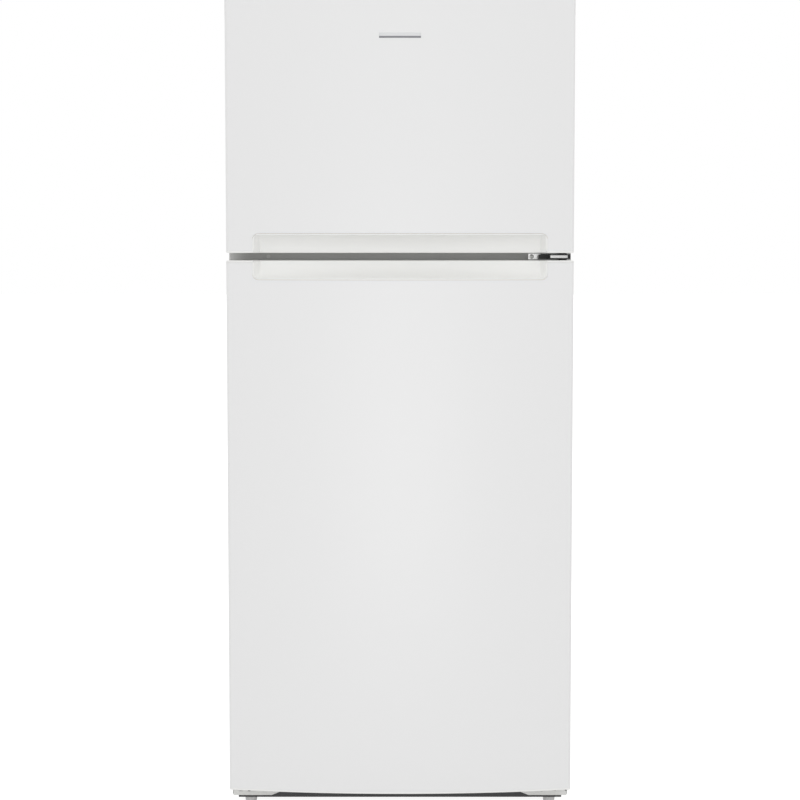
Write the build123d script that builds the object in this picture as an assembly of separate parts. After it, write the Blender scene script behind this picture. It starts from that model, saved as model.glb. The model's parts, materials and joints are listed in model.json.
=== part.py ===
from build123d import *

import math
import os

# White top freezer refrigerator, reverse: two crowned steel doors hung on the right of an
# insulated cabinet. Millimetres. +X right, +Y to the back, +Z up, floor at Z = 0.

# ---------------------------------------------------------------- driving dimensions
DOOR_W = 701.0            # width over the doors
CAB_W = 698.0             # width over the cabinet sides
CROWN_Y = -369.2          # foremost line of the door crown
DOOR_EDGE_Y = -337.0      # where the crown meets the door sides
DOOR_BACK_Y = -286.0      # rear face of the door body
CAB_FRONT_Y = -274.0      # cabinet front face
CAB_BACK_Y = 350.0        # cabinet rear panel
SPACER_BACK_Y = 370.0     # wall spacers, the rearmost line
SIDE_Z0 = 27.0            # lower edge of the cabinet sides
RAIL_Z0 = 20.6            # lower edge of the dark front rail
CAB_TOP_Z = 1668.0
FRIDGE_DOOR_Z = (54.0, 1140.0)
FREEZER_DOOR_Z = (1155.0, 1663.0)
HINGE_X, HINGE_Y = 330.0, -308.0

SHEET = 1.0               # cabinet and door steel
LINER = 2.0               # formed plastic liner wall
FLANGE = 36.0             # width of the steel return around the cabinet front
LINER_X = 302.0           # inner half width of both compartments
LINER_BACK_Y = 298.0
FRIDGE_Z = (95.0, 1112.0)
FREEZER_Z = (1188.0, 1608.0)
HUMP_Z = 300.0            # floor height over the machine compartment
HUMP_Y = (82.0, 112.0)    # foot and head of the sloping hump face
MULLION_Z = (1118.0, 1182.0)
SILL_Z = (57.0, 93.0)

GRIP_HALF = 294.0         # half width of the grip recess in each door
GRIP_H = 36.0
GRIP_R = 10.0
CAP_T = 4.0               # thickness of the door end caps
CAP_ROUND = 1.6           # rounding of their outer edges
DYKE_X = (262.0, 290.0)   # raised rib around the door liner
DYKE_Y = -245.0
RACK_DEPTH = 90.0
GASKET_X = 328.0
GASKET_W = 16.0
PIN_R = 4.0
PIN_FIT = 0.05            # radial clearance of pins and axles
GAP = 0.3                 # clearance between neighbouring pieces

DOOR_HALF = DOOR_W / 2
CAB_HALF = CAB_W / 2
SAG = DOOR_EDGE_Y - CROWN_Y
CROWN_R = (DOOR_HALF ** 2 + SAG ** 2) / (2 * SAG)
CROWN_CY = CROWN_Y + CROWN_R

os.makedirs("parts", exist_ok=True)


# ---------------------------------------------------------------- helpers
def block(x0, x1, y0, y1, z0, z1):
    """A box between two corners."""
    return Pos((x0 + x1) / 2, (y0 + y1) / 2, (z0 + z1) / 2) * Box(x1 - x0, y1 - y0, z1 - z0)


def rod(axis, x, y, z, radius, length):
    """A round bar of the given length centred on a point, along X, Y or Z."""
    turn = {"x": Rot(0, 90, 0), "y": Rot(90, 0, 0), "z": Rot(0, 0, 0)}[axis]
    return Pos(x, y, z) * turn * Cylinder(radius, length)


def ring(axis, x, y, z, outer, inner, length):
    """A round tube centred on a point, along X, Y or Z."""
    return rod(axis, x, y, z, outer, length) - rod(axis, x, y, z, inner, length + 2)


def prism_x(points, x0, x1):
    """A polygon in the YZ plane carried along X."""
    face = make_face(Polyline(*[(0, y, z) for y, z in points], close=True))
    return Pos(x0, 0, 0) * extrude(face, amount=x1 - x0, dir=(1, 0, 0))


def prism_y(points, y0, y1):
    """A polygon in the XZ plane carried along Y."""
    face = make_face(Polyline(*[(x, 0, z) for x, z in points], close=True))
    return Pos(0, y0, 0) * extrude(face, amount=y1 - y0, dir=(0, 1, 0))


def frame_y(x1, x0, z_out, z_in, y0, y1):
    """A rectangular ring in the XZ plane, between two half widths, with depth along Y."""
    outer = block(-x1, x1, y0, y1, *z_out)
    return outer - block(-x0, x0, y0 - 1, y1 + 1, *z_in)


def mirror_x(shape):
    return mirror(shape, about=Plane.YZ)


def group(shapes):
    return Compound(children=[s for shape in shapes for s in shape.solids()])


def save(name, shape):
    solids = shape.solids()
    export_step(solids[0] if len(solids) == 1 else Compound(children=solids), f"parts/{name}.step")
    print(name, len(solids), round(shape.volume))


def crown_y(x, inset=0.0):
    """Y of the crowned door front at x, moved inwards by inset."""
    return CROWN_CY - math.sqrt((CROWN_R - inset) ** 2 - x ** 2)


def door_plan(inset, back_y, z0, z1):
    """The door's plan, an arc closed by straight sides, between two heights."""
    half = DOOR_HALF - inset
    edge = crown_y(half, inset)
    arc = ThreePointArc((-half, edge, z0), (0, crown_y(0, inset), z0), (half, edge, z0))
    sides = Polyline((half, edge, z0), (half, back_y, z0), (-half, back_y, z0), (-half, edge, z0))
    solid = extrude(make_face(arc + sides), amount=z1 - z0, dir=(0, 0, 1))
    corners = [e for e in solid.edges().filter_by(Axis.Z) if e.center().Y < back_y - 5]
    return fillet(corners, max(6 - inset, 1.5))


# ---------------------------------------------------------------- cabinet shell
def side_panel():
    """Right-hand steel side with the return that the door seal closes on."""
    plate = block(CAB_HALF - SHEET, CAB_HALF, CAB_FRONT_Y, CAB_BACK_Y, SIDE_Z0, CAB_TOP_Z)
    lip = block(CAB_HALF - FLANGE, CAB_HALF - SHEET, CAB_FRONT_Y, CAB_FRONT_Y + SHEET, SILL_Z[0], CAB_TOP_Z)
    return plate + lip


def top_panel():
    x = CAB_HALF - SHEET
    plate = block(-x, x, CAB_FRONT_Y + SHEET, CAB_BACK_Y - 1.5, CAB_TOP_Z - SHEET, CAB_TOP_Z)
    lip_x = CAB_HALF - FLANGE
    lip = block(-lip_x, lip_x, CAB_FRONT_Y, CAB_FRONT_Y + SHEET, CAB_TOP_Z - FLANGE, CAB_TOP_Z)
    return plate + lip


PAN_Z = 262.0             # underside of the shell over the machine compartment
PAN_Y = (122.0, 150.0)


def base_pan():
    """Stepped steel floor that clears the machine compartment, turned up in front as the sill."""
    x = CAB_HALF - SHEET - 0.2
    top = SILL_Z[0] + 1.2
    line = [(CAB_FRONT_Y + 1.2, SILL_Z[0]), (PAN_Y[0], SILL_Z[0]), (PAN_Y[1], PAN_Z), (348.5, PAN_Z)]
    back = [(348.5, PAN_Z + 1.2), (PAN_Y[1] - 1, PAN_Z + 1.2), (PAN_Y[0] - 1, top), (CAB_FRONT_Y + 1.2, top)]
    sill_x = CAB_HALF - FLANGE - 0.2
    sill = block(-sill_x, sill_x, CAB_FRONT_Y, CAB_FRONT_Y + 1.2, *SILL_Z)
    return prism_x(line + back, -x, x) + sill


def mullion_rail():
    """Steel channel between the two compartments."""
    x = CAB_HALF - FLANGE
    web = block(-x, x, CAB_FRONT_Y, CAB_FRONT_Y + SHEET, *MULLION_Z)
    low = block(-x, x, CAB_FRONT_Y + SHEET, CAB_FRONT_Y + 14, MULLION_Z[0] + 2, MULLION_Z[0] + 3)
    high = block(-x, x, CAB_FRONT_Y + SHEET, CAB_FRONT_Y + 14, MULLION_Z[1] - 3, MULLION_Z[1] - 2)
    return web + low + high


RAIL_Y = (-272.0, -248.0)
BRACKET_Z = (25.3, 53.5)
BRACKET_SHELF = 2.5


def base_rail():
    """Dark channel across the foot of the cabinet, slotted where the leg brackets pass through."""
    x = CAB_HALF - SHEET - 0.3
    web = block(-x, x, RAIL_Y[0], RAIL_Y[0] + 1.5, RAIL_Z0, SILL_Z[0] - GAP)
    shelf = block(-x, x, RAIL_Y[0], RAIL_Y[1], SILL_Z[0] - GAP - 1.5, SILL_Z[0] - GAP)
    foot = block(-286, 286, RAIL_Y[0], RAIL_Y[1], RAIL_Z0, RAIL_Z0 + 1.5)
    rail = web + shelf + foot
    slot_z = (BRACKET_Z[0] - GAP, BRACKET_Z[0] + BRACKET_SHELF + GAP)
    slot = block(291.5, 350, -280, -240, *slot_z) + block(337, 350, -280, -240, 0, slot_z[1])
    return rail - slot - mirror_x(slot)


def machine_tray():
    """Steel tray across the rear that carries the compressor, with the roller forks under it."""
    x = CAB_HALF - SHEET - 0.3
    tray = block(-x, x, 128, 346, 44, 45.5) + block(-x, x, 128, 129.5, 45.5, 56)
    return tray + roller_fork(-1) + roller_fork(1)


def liner(profile_in, profile_out, z_in, z_flange):
    """Formed box with a rim at the front that tucks behind the steel returns."""
    shell = prism_x(profile_out, -LINER_X - LINER, LINER_X + LINER)
    shell -= prism_x(profile_in, -LINER_X, LINER_X)
    rim_x = CAB_HALF - FLANGE - GAP
    return shell + frame_y(rim_x, LINER_X, z_flange, z_in, CAB_FRONT_Y, CAB_FRONT_Y + LINER)


SHELF_Z = (520.0, 690.0, 860.0)
LEDGE_W = 9.0


def ledges(levels, y0, y1):
    """Pairs of ledges on the compartment sides that the shelves rest on."""
    found = []
    for z in levels:
        for side in (-1, 1):
            inner, outer = side * (LINER_X - LEDGE_W), side * (LINER_X + 1)
            found.append(block(min(inner, outer), max(inner, outer), y0, y1, z - 9, z))
    return found


COVER_Z = 338.0           # the vegetable drawer cover rests here
FRIDGE_IN = [(CAB_FRONT_Y - 1, FRIDGE_Z[0]), (HUMP_Y[0], FRIDGE_Z[0]), (HUMP_Y[1], HUMP_Z),
             (LINER_BACK_Y, HUMP_Z), (LINER_BACK_Y, FRIDGE_Z[1]), (CAB_FRONT_Y - 1, FRIDGE_Z[1])]
FRIDGE_OUT = [(CAB_FRONT_Y, FRIDGE_Z[0] - LINER), (HUMP_Y[0] + LINER, FRIDGE_Z[0] - LINER),
              (HUMP_Y[1] + LINER, HUMP_Z - LINER), (LINER_BACK_Y + LINER, HUMP_Z - LINER),
              (LINER_BACK_Y + LINER, FRIDGE_Z[1] + LINER), (CAB_FRONT_Y, FRIDGE_Z[1] + LINER)]
FREEZER_IN = [(CAB_FRONT_Y - 1, FREEZER_Z[0]), (LINER_BACK_Y, FREEZER_Z[0]),
              (LINER_BACK_Y, FREEZER_Z[1]), (CAB_FRONT_Y - 1, FREEZER_Z[1])]
FREEZER_OUT = [(CAB_FRONT_Y, FREEZER_Z[0] - LINER), (LINER_BACK_Y + LINER, FREEZER_Z[0] - LINER),
               (LINER_BACK_Y + LINER, FREEZER_Z[1] + LINER), (CAB_FRONT_Y, FREEZER_Z[1] + LINER)]
FREEZER_SHELF_Z = 1392.0
SHELF_Y = (-172.0, 262.0)


def fridge_liner():
    shell = liner(FRIDGE_IN, FRIDGE_OUT, FRIDGE_Z, (SILL_Z[1] + GAP, MULLION_Z[0] - GAP))
    for ledge in ledges(SHELF_Z, *SHELF_Y) + ledges([COVER_Z], -165, 80):
        shell += ledge
    return shell


def freezer_liner():
    z_rim = (MULLION_Z[1] + GAP, CAB_TOP_Z - FLANGE - GAP)
    shell = liner(FREEZER_IN, FREEZER_OUT, FREEZER_Z, z_rim)
    for ledge in ledges([FREEZER_SHELF_Z - 6], -180, 215):
        shell += ledge
    return shell


def cabinet_foam():
    """Insulation between the steel shell and the liners, in one piece."""
    x = CAB_HALF - SHEET - 0.2
    front = CAB_FRONT_Y + LINER + 0.3
    low = SILL_Z[0] + 1.6
    outline = [(front, low), (PAN_Y[0] - 1.6, low), (PAN_Y[1] - 1.6, PAN_Z + 1.6), (348.3, PAN_Z + 1.6),
               (348.3, CAB_TOP_Z - SHEET - 0.2), (front, CAB_TOP_Z - SHEET - 0.2)]
    foam = prism_x(outline, -x, x)
    reach = LINER_X + LINER
    for profile in (FRIDGE_OUT, FREEZER_OUT):
        foam -= prism_x([(y - (5 if y < 0 else 0), z) for y, z in profile], -reach, reach)
    return foam - block(-x, x, front - 1, CAB_FRONT_Y + 15, MULLION_Z[0] + 1.5, MULLION_Z[1] - 1.5)


def back_panel():
    x = CAB_HALF - SHEET - 0.2
    return block(-x, x, CAB_BACK_Y - 1.2, CAB_BACK_Y, PAN_Z, CAB_TOP_Z)


def rear_cover():
    """Pressed board over the machine compartment with rows of air slots."""
    x = CAB_HALF - SHEET - 0.5
    board = block(-x, x, CAB_BACK_Y - 3, CAB_BACK_Y - 0.5, 48, PAN_Z - 0.5)
    for row in range(5):
        for column in range(9):
            if column == 7 and row < 2:
                continue
            slot_x = -272 + column * 62
            slot_z = 90 + row * 30
            board -= block(slot_x, slot_x + 44, 340, 352, slot_z, slot_z + 7)
    return board - rod("y", GLAND[0], CAB_BACK_Y, GLAND[1], GLAND_R, 20)


GLAND = (190.0, 108.0)    # x and z of the supply cord gland
GLAND_R = 9.0
CORD_R = 4.2


def cord_gland():
    """Plastic bush for the supply cord, with a shoulder each side of the board."""
    neck = rod("y", GLAND[0], CAB_BACK_Y - 1.75, GLAND[1], GLAND_R - 0.1, 12)
    heads = [rod("y", GLAND[0], CAB_BACK_Y + offset, GLAND[1], 13, 4) for offset in (1.6, -5.1)]
    return neck + heads[0] + heads[1] - rod("y", GLAND[0], CAB_BACK_Y, GLAND[1], CORD_R, 40)


def wall_spacers():
    """Two plastic buffers that keep the back off the wall."""
    found = []
    for side in (-1, 1):
        pad = block(side * 250 - 22, side * 250 + 22, CAB_BACK_Y, SPACER_BACK_Y, 1590, 1630)
        found.append(chamfer(pad.faces().sort_by(Axis.Y)[-1].edges(), 4))
    return group(found)


# ---------------------------------------------------------------- hinges, legs and rollers
def leg_bracket(holes):
    """Right-hand white bracket: face plate with a slanted inner end, and a shelf for the leg.
    The holes are (x, z, radius)."""
    z0, z1 = BRACKET_Z
    outline = [(CAB_HALF - 1.5, z0), (CAB_HALF - 1.5, z1), (240, z1), (240, z0 + 11.7), (268, z0)]
    plate = prism_y(outline, BRACKET_FRONT, RAIL_Y[0])
    shelf = block(292, CAB_HALF - 1.5, RAIL_Y[0], RAIL_Y[0] + 28, z0, z0 + BRACKET_SHELF)
    plate += shelf - rod("z", LEG_X, LEG_Y, z0, LEG_R + PIN_FIT, 20)
    for x, z, radius in holes:
        plate -= rod("y", x, RAIL_Y[0], z, radius, 20)
    return plate


LEG_X, LEG_Y, LEG_R = 312.0, -257.0, 4.0
BRACKET_FRONT = RAIL_Y[0] - 2.5
SCREW_HOLE_R = 2.6
LEFT_SCREWS = ((333.0, 38.2), (297.0, 39.4))      # x (mirrored) and z of the left bracket's screws
RIGHT_SCREWS = ((296.0, 38.2),)
LEFT_HOLES = ((315.0, 38.2, 5.2),)                # open fixing holes: x, z and radius
RIGHT_HOLES = ((324.0, 36.2, 2.0), (346.5, 36.5, 2.4))


def bottom_hinge():
    """Shelf of the right bracket that runs forward under the door and carries its pin."""
    z1 = BRACKET_Z[1]
    arm = block(300, 346, -322, BRACKET_FRONT, z1 - 4.0, z1 - 0.5)
    arm = fillet(arm.edges().filter_by(Axis.Z).group_by(Axis.Y)[0], 8)
    pin = rod("z", HINGE_X, HINGE_Y, (z1 - 4 + FRIDGE_DOOR_Z[0] + 14) / 2, PIN_R, FRIDGE_DOOR_Z[0] + 18 - z1)
    return leg_bracket([(x, z, SCREW_HOLE_R) for x, z in RIGHT_SCREWS] + list(RIGHT_HOLES)) + arm + pin


def levelling_leg(side):
    """Threaded stem with a tapered grey foot that stands on the floor."""
    foot = Pos(side * LEG_X, LEG_Y, 10) * Cone(10.5, 12.5, 20)
    collar = rod("z", side * LEG_X, LEG_Y, 22.5, 7.5, 5)
    stem = rod("z", side * LEG_X, LEG_Y, 37, LEG_R, 30)
    slot = block(side * LEG_X - 5, side * LEG_X + 5, LEG_Y - 0.7, LEG_Y + 0.7, 50, 53)
    return fillet(foot.edges().group_by(Axis.Z)[0], 1.2) + collar + stem - slot


ROLLER_X, ROLLER_Y, ROLLER_R = 300.0, 290.0, 20.0


def roller(side):
    wheel = ring("x", side * ROLLER_X, ROLLER_Y, ROLLER_R, ROLLER_R, PIN_R + PIN_FIT, 18)
    return chamfer(wheel.edges().filter_by(GeomType.CIRCLE).sort_by(SortBy.RADIUS)[-2:], 1.5)


def roller_fork(side):
    """Two cheeks under the tray with the axle pin riveted through them."""
    x = side * ROLLER_X
    found = rod("x", x, ROLLER_Y, ROLLER_R, PIN_R, 30)
    for ear in (-1, 1):
        found += block(x + ear * 12.5 - 1.2, x + ear * 12.5 + 1.2, 278, 302, 10, 45)
    return found


ARM_Z = (1145.0, 1150.0)


def centre_hinge():
    """White steel plate screwed to the mullion, with an arm and a pin for each door."""
    plate = block(262, 346, CAB_FRONT_Y - 2.5, CAB_FRONT_Y, 1141.5, 1153.5)
    arm = block(303, 339, -322, CAB_FRONT_Y - 2.5, *ARM_Z)
    arm = fillet(arm.edges().filter_by(Axis.Z).group_by(Axis.Y)[0], 4)
    pin = rod("z", HINGE_X, HINGE_Y, sum(ARM_Z) / 2, PIN_R, 33)
    return plate + arm + pin - rod("y", 269, CAB_FRONT_Y, 1147.5, 2.6, 20)


def centre_hinge_spacers():
    """Black plastic pieces beside the hinge arm, and a bearing washer with a collar on each side of it."""
    inner = prism_y([(281.5, 1142.3), (302.7, 1142.3), (302.7, 1152.7), (288, 1152.7), (281.5, 1149.5)],
                    -300, CAB_FRONT_Y - 2.8)
    outer = prism_y([(340, 1143), (346.5, 1142.3), (346.5, 1152.7), (340, 1151)], -300, CAB_FRONT_Y - 2.8)
    found = [inner, outer]
    for face, away in ((ARM_Z[0], -1), (ARM_Z[1], 1)):
        lows = sorted((face + away * 0.2, face + away * 2.6))
        washer = block(303.5, 338.5, -321.5, -290, *lows)
        washer += rod("z", HINGE_X, HINGE_Y, face + away * 2.4, 8, 4.4)
        found.append(washer - rod("z", HINGE_X, HINGE_Y, face, PIN_R + PIN_FIT, 30))
    return group(found)


TOP_PLATE_Z = (CAB_TOP_Z, CAB_TOP_Z + 3.5)


def top_hinge():
    """Plated steel plate on the cabinet top with the upper pin of the freezer door."""
    plate = block(288, 344, -322, -205, *TOP_PLATE_Z)
    plate = fillet(plate.edges().filter_by(Axis.Z), 6)
    pin = rod("z", HINGE_X, HINGE_Y, (TOP_PLATE_Z[0] + FREEZER_DOOR_Z[1] - 13) / 2, PIN_R,
              TOP_PLATE_Z[0] - FREEZER_DOOR_Z[1] + 13)
    holes = [rod("z", x, y, CAB_TOP_Z, 3.1, 20) for x, y in TOP_SCREWS]
    return plate + pin - holes[0] - holes[1]


TOP_SCREWS = ((300.0, -240.0), (332.0, -222.0))
COVER_TOP_Z = 1688.0


def top_hinge_cover():
    """White plastic hood over the top hinge."""
    outer = block(283, 349, -327, -200, CAB_TOP_Z, COVER_TOP_Z)
    outer = fillet(outer.edges().filter_by(Axis.Z), 8)
    outer = fillet(outer.faces().sort_by(Axis.Z)[-1].edges(), 5)
    return outer - block(285, 347, -325, -202, CAB_TOP_Z - 1, COVER_TOP_Z - 2.5)


def front_screw(x, face_y, z, head_r, head_h):
    """Pan head screw in an upright plate 2.5 mm thick, its head towards -Y."""
    return rod("y", x, face_y - head_h / 2, z, head_r, head_h) + rod("y", x, face_y + 1.25, z, 2.4, 2.5)


def cabinet_screws():
    """Screws of the leg brackets, the centre hinge and the top hinge."""
    found = [front_screw(-x, BRACKET_FRONT, z, 4.6, 3) for x, z in LEFT_SCREWS]
    found += [front_screw(x, BRACKET_FRONT, z, 4.6, 3) for x, z in RIGHT_SCREWS]
    found.append(front_screw(269, CAB_FRONT_Y - 2.5, 1147.5, 4.2, 2.4))
    for x, y in TOP_SCREWS:
        top = TOP_PLATE_Z[1]
        found.append(rod("z", x, y, top + 1.5, 5, 3) + rod("z", x, y, top - 1.7, 2.4, 3.4))
    return group(found)


def hole_plugs():
    """White plugs in the unused hinge holes on the left, for moving the doors over."""
    plug = rod("y", -269, CAB_FRONT_Y - 0.75, 1147.5, 4, 1.5)
    found = [plug]
    for x, y in TOP_SCREWS:
        found.append(rod("z", -x, y, CAB_TOP_Z + 0.75, 4.5, 1.5))
    return group(found)


# ---------------------------------------------------------------- inside the freezer
AIR_COVER_Y = (222.0, 225.0)
FAN_Z = 1500.0
FAN_R = 52.0


def freezer_air_cover():
    """Panel in front of the cooling coil, with a fan grille and return air slots."""
    z0, z1 = FREEZER_Z[0] + 0.5, FREEZER_Z[1] - 0.5
    panel = block(-LINER_X + 0.5, LINER_X - 0.5, *AIR_COVER_Y, z0, z1)
    for side in (-1, 1):
        x = side * (LINER_X - 2)
        panel += block(x - 1.5, x + 1.5, AIR_COVER_Y[1], LINER_BACK_Y - 0.5, z0, z1)
    panel -= rod("y", 0, 220, FAN_Z, FAN_R, 30)
    for column in range(15):
        x = -266 + column * 38
        panel -= block(x - 13, x + 13, 215, 230, FREEZER_Z[0] + 14, FREEZER_Z[0] + 22)
    grille_y = sum(AIR_COVER_Y) / 2
    for outer in (44, 29, 14):
        panel += ring("y", 0, grille_y, FAN_Z, outer, outer - 3, 3)
    for turn in range(4):
        panel += Pos(0, grille_y, FAN_Z) * Rot(0, 45 + turn * 90, 0) * Pos(33, 0, 0) * Box(44, 3, 3)
    return panel


def fan_blades(x, y, z, tip, hub, depth, bore, blades=5):
    """Axial fan on a Y shaft: a hub with pitched blades."""
    found = rod("y", x, y, z, hub, depth)
    for turn in range(blades):
        blade = Pos((hub + tip) / 2 - 1, 0, 0) * Rot(28, 0, 0) * Box(tip - hub + 2, 1.8, hub * 1.15)
        found += Pos(x, y, z) * Rot(0, turn * 360 / blades, 0) * blade
    found &= rod("y", x, y, z, tip, depth * 3)
    return found - rod("y", x, y, z, bore, depth * 4)


SHAFT_R = 2.5


def evaporator_fan():
    return fan_blades(0, 238, FAN_Z, 47, 14, 14, SHAFT_R + PIN_FIT)


def fan_motor(x, y, z, radius):
    """Round motor with its shaft towards -Y, held by a cross bar."""
    body = rod("y", x, y, z, radius, 20) + block(x - 58, x + 58, y + 4, y + 7, z - 7, z + 7)
    return body + rod("y", x, y - 22, z, SHAFT_R, 26)


def evaporator():
    """Fin and tube coil: rows of tube through a stack of upright fins."""
    found = []
    for row in range(6):
        z = 1232 + row * 26
        for y in (246, 272):
            found.append(rod("x", 0, y, z, 4, 470))
    coil = found[0]
    for tube in found[1:]:
        coil += tube
    for column in range(30):
        x = -225 + column * 450 / 29
        coil += block(x - 0.5, x + 0.5, 235, 284, 1218, 1376)
    for row in range(6):
        for side in (-1, 1):
            coil += block(side * 237 - 3, side * 237 + 3, 243, 275, 1229 + row * 26, 1235 + row * 26)
    return coil


def freezer_shelf():
    """Coated wire shelf: two thick rods under a row of thin wires."""
    z = FREEZER_SHELF_Z
    shelf = rod("x", 0, -172, z - 3, 3, 2 * LINER_X - 3)
    shelf += rod("x", 0, 200, z - 3, 3, 2 * LINER_X - 3)
    shelf += rod("x", 0, 14, z - 3, 3, 2 * LINER_X - 3)
    for column in range(23):
        x = -286 + column * 26
        shelf += rod("y", x, 14, z - 0.5, 1.6, 378)
    return shelf


# ---------------------------------------------------------------- inside the fresh food space
def shelf_frame(z):
    """White moulded rim that rests on the ledges and holds a sheet of glass."""
    x = LINER_X - 1.0
    y0, y1 = SHELF_Y[0] - 3, SHELF_Y[1] + 2
    rim = block(-x, x, y0, y1, z + GAP, z + 12)
    rim -= block(-x + 22, x - 22, y0 + 20, y1 - 16, z - 1, z + 14)
    rim -= block(-x + 12, x - 12, y0 + 10, y1 - 8, z + 7, z + 14)
    nose = block(-x + 12, x - 12, y0 - 4, y0, z - 8, z + 12)
    rim += fillet(nose.edges().filter_by(Axis.X).group_by(Axis.Y)[0], 3)
    return rim


def shelf_glass(z):
    x = LINER_X - 1.0
    y0, y1 = SHELF_Y[0] - 3, SHELF_Y[1] + 2
    return block(-x + 12.3, x - 12.3, y0 + 10.3, y1 - 8.3, z + 7, z + 11)


def crisper_cover_frame():
    """Rim over the vegetable drawers with a deeper front rail."""
    x = LINER_X - 1.0
    z = COVER_Z
    rim = block(-x, x, -168, 100, z + GAP, z + 12)
    rim -= block(-x + 22, x - 22, -148, 84, z - 1, z + 14)
    rim -= block(-x + 12, x - 12, -156, 92, z + 7, z + 14)
    return rim + block(-x + 12, x - 12, -174, -168, z - 10, z + 12)


def crisper_cover_glass():
    x = LINER_X - 1.0
    return block(-x + 12.3, x - 12.3, -155.7, 91.7, COVER_Z + 7, COVER_Z + 11)


CRISPER_Z = (FRIDGE_Z[0] + 0.6, 322.0)
CRISPER_Y = (-160.0, 74.0)


def crisper(side):
    """Clear drawer with a thick white front edge and a finger lip."""
    x0, x1 = (5.0, 293.0) if side > 0 else (-293.0, -5.0)
    z0, z1 = CRISPER_Z
    tub = block(x0, x1, *CRISPER_Y, z0, z1)
    tub = fillet(tub.edges().filter_by(Axis.Y).group_by(Axis.Z)[0], 12)
    cavity = block(x0 + 3, x1 - 3, CRISPER_Y[0] + 3, CRISPER_Y[1] - 3, z0 + 3, z1 + 5)
    cavity = fillet(cavity.edges().filter_by(Axis.Y).group_by(Axis.Z)[0], 9)
    tub -= cavity
    lip = prism_x([(CRISPER_Y[0], z1), (CRISPER_Y[0] - 12, z1), (CRISPER_Y[0] - 12, z1 - 16),
                   (CRISPER_Y[0] - 9.5, z1 - 16), (CRISPER_Y[0] - 9.5, z1 - 3), (CRISPER_Y[0], z1 - 3)],
                  x0 + 30, x1 - 30)
    return tub + lip


HOUSING_Y = (-165.0, -20.0)
HOUSING_Z = (1068.0, FRIDGE_Z[1] - 0.3)
DIAL_X = 80.0
DIAL_Z = 1090.0
SWITCH_X, SWITCH_Z = 230.0, 1098.0


def control_housing():
    """Shallow box under the ceiling for the dials and the light, with the door switch on an arm."""
    shell = block(-150, 150, *HOUSING_Y, *HOUSING_Z)
    shell = fillet(shell.edges().filter_by(Axis.Z), 10)
    shell -= block(-147, 147, HOUSING_Y[0] + 3, HOUSING_Y[1] - 3, HOUSING_Z[0] + 3, HOUSING_Z[1] + 1)
    shell -= block(-45, 45, -130, -50, HOUSING_Z[0] - 1, HOUSING_Z[0] + 5)
    for side in (-1, 1):
        shell -= rod("y", side * DIAL_X, HOUSING_Y[0], DIAL_Z, 3 + PIN_FIT, 20)
    arm = block(147.5, SWITCH_X + 12, HOUSING_Y[0] + 12, HOUSING_Y[0] + 24, 1100, HOUSING_Z[1])
    arm += block(SWITCH_X - 12, SWITCH_X + 12, -238, HOUSING_Y[0] + 24, SWITCH_Z - 9, HOUSING_Z[1])
    return shell + arm - rod("y", SWITCH_X, -228, SWITCH_Z, 4 + PIN_FIT, 30)


def light_lens():
    shell = block(-44.7, 44.7, -129.7, -50.3, HOUSING_Z[0] - 8, HOUSING_Z[0] + 2.5)
    shell = fillet(shell.edges().filter_by(Axis.Z), 6)
    return shell - block(-42.5, 42.5, -127.5, -52.5, HOUSING_Z[0] - 6, HOUSING_Z[0] + 4)


def dial(side):
    """Round temperature dial with a raised pointer and a short shaft."""
    x = side * DIAL_X
    face = HOUSING_Y[0] - GAP
    knob = rod("y", x, face - 4, DIAL_Z, 17, 8)
    knob = chamfer(knob.faces().sort_by(Axis.Y)[0].edges(), 1.5)
    grip = block(x - 2.5, x + 2.5, face - 13, face - 7, DIAL_Z - 14, DIAL_Z + 14)
    return knob + grip + rod("y", x, face + 4, DIAL_Z, 3, 10)




def light_switch_plunger():
    return rod("y", SWITCH_X, -235.5, SWITCH_Z, 4, 18)


# ---------------------------------------------------------------- machine compartment
COMP = (-150.0, 232.0)    # compressor axis


def compressor():
    """Welded dome shell with a base plate on four feet, and two stub pipes."""
    x, y = COMP
    body = Pos(x, y, 118) * Cylinder(72, 92)
    body = fillet(body.edges().filter_by(GeomType.CIRCLE), 34)
    seam = Pos(x, y, 120) * Cylinder(75, 3)
    legs = block(x - 92, x + 92, y - 62, y + 62, 64, 67)
    for dx in (-78, 78):
        for dy in (-48, 48):
            legs += rod("z", x + dx, y + dy, 54.75, 11, 18.5)
    box = block(x + 60, x + 98, y - 28, y + 28, 96, 140)
    stubs = rod("y", x - 30, y - 66, 122, 4, 34) + rod("y", x + 10, y - 68, 112, 3, 30)
    return body + seam + legs + block(x - 40, x + 40, y - 40, y + 40, 64, 76) + box + stubs


def condenser():
    """Coil of tube in three upright rows, tied by end plates."""
    coil = None
    for row in range(6):
        z = 66 + row * 22
        for column in range(4):
            y = 160 + column * 22
            tube = rod("x", 150, y, z, 2.6, 200)
            coil = tube if coil is None else coil + tube
    for column in range(21):
        x = 60 + column * 9
        coil += block(x - 0.4, x + 0.4, 150, 236, 56, 186)
    for x in (50, 250):
        coil += block(x - 1, x + 1, 148, 238, 45.5, 190)
    return coil


CFAN = (150.0, 262.0, 120.0)


def condenser_fan():
    return fan_blades(*CFAN, 56, 15, 14, SHAFT_R + PIN_FIT)


def condenser_fan_motor():
    x, y, z = CFAN
    post = block(x - 58, x - 52, y + 26, y + 32, 45.5, z + 8) + block(x + 52, x + 58, y + 26, y + 32, 45.5, z + 8)
    return fan_motor(x, y + 25, z, 17) + post


def drain_pan():
    """Shallow evaporation pan on top of the compressor."""
    x, y = COMP
    pan = block(x - 110, x + 100, y - 80, y + 80, 168, 200)
    return pan - block(x - 107.5, x + 97.5, y - 77.5, y + 77.5, 170.5, 202)


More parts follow.
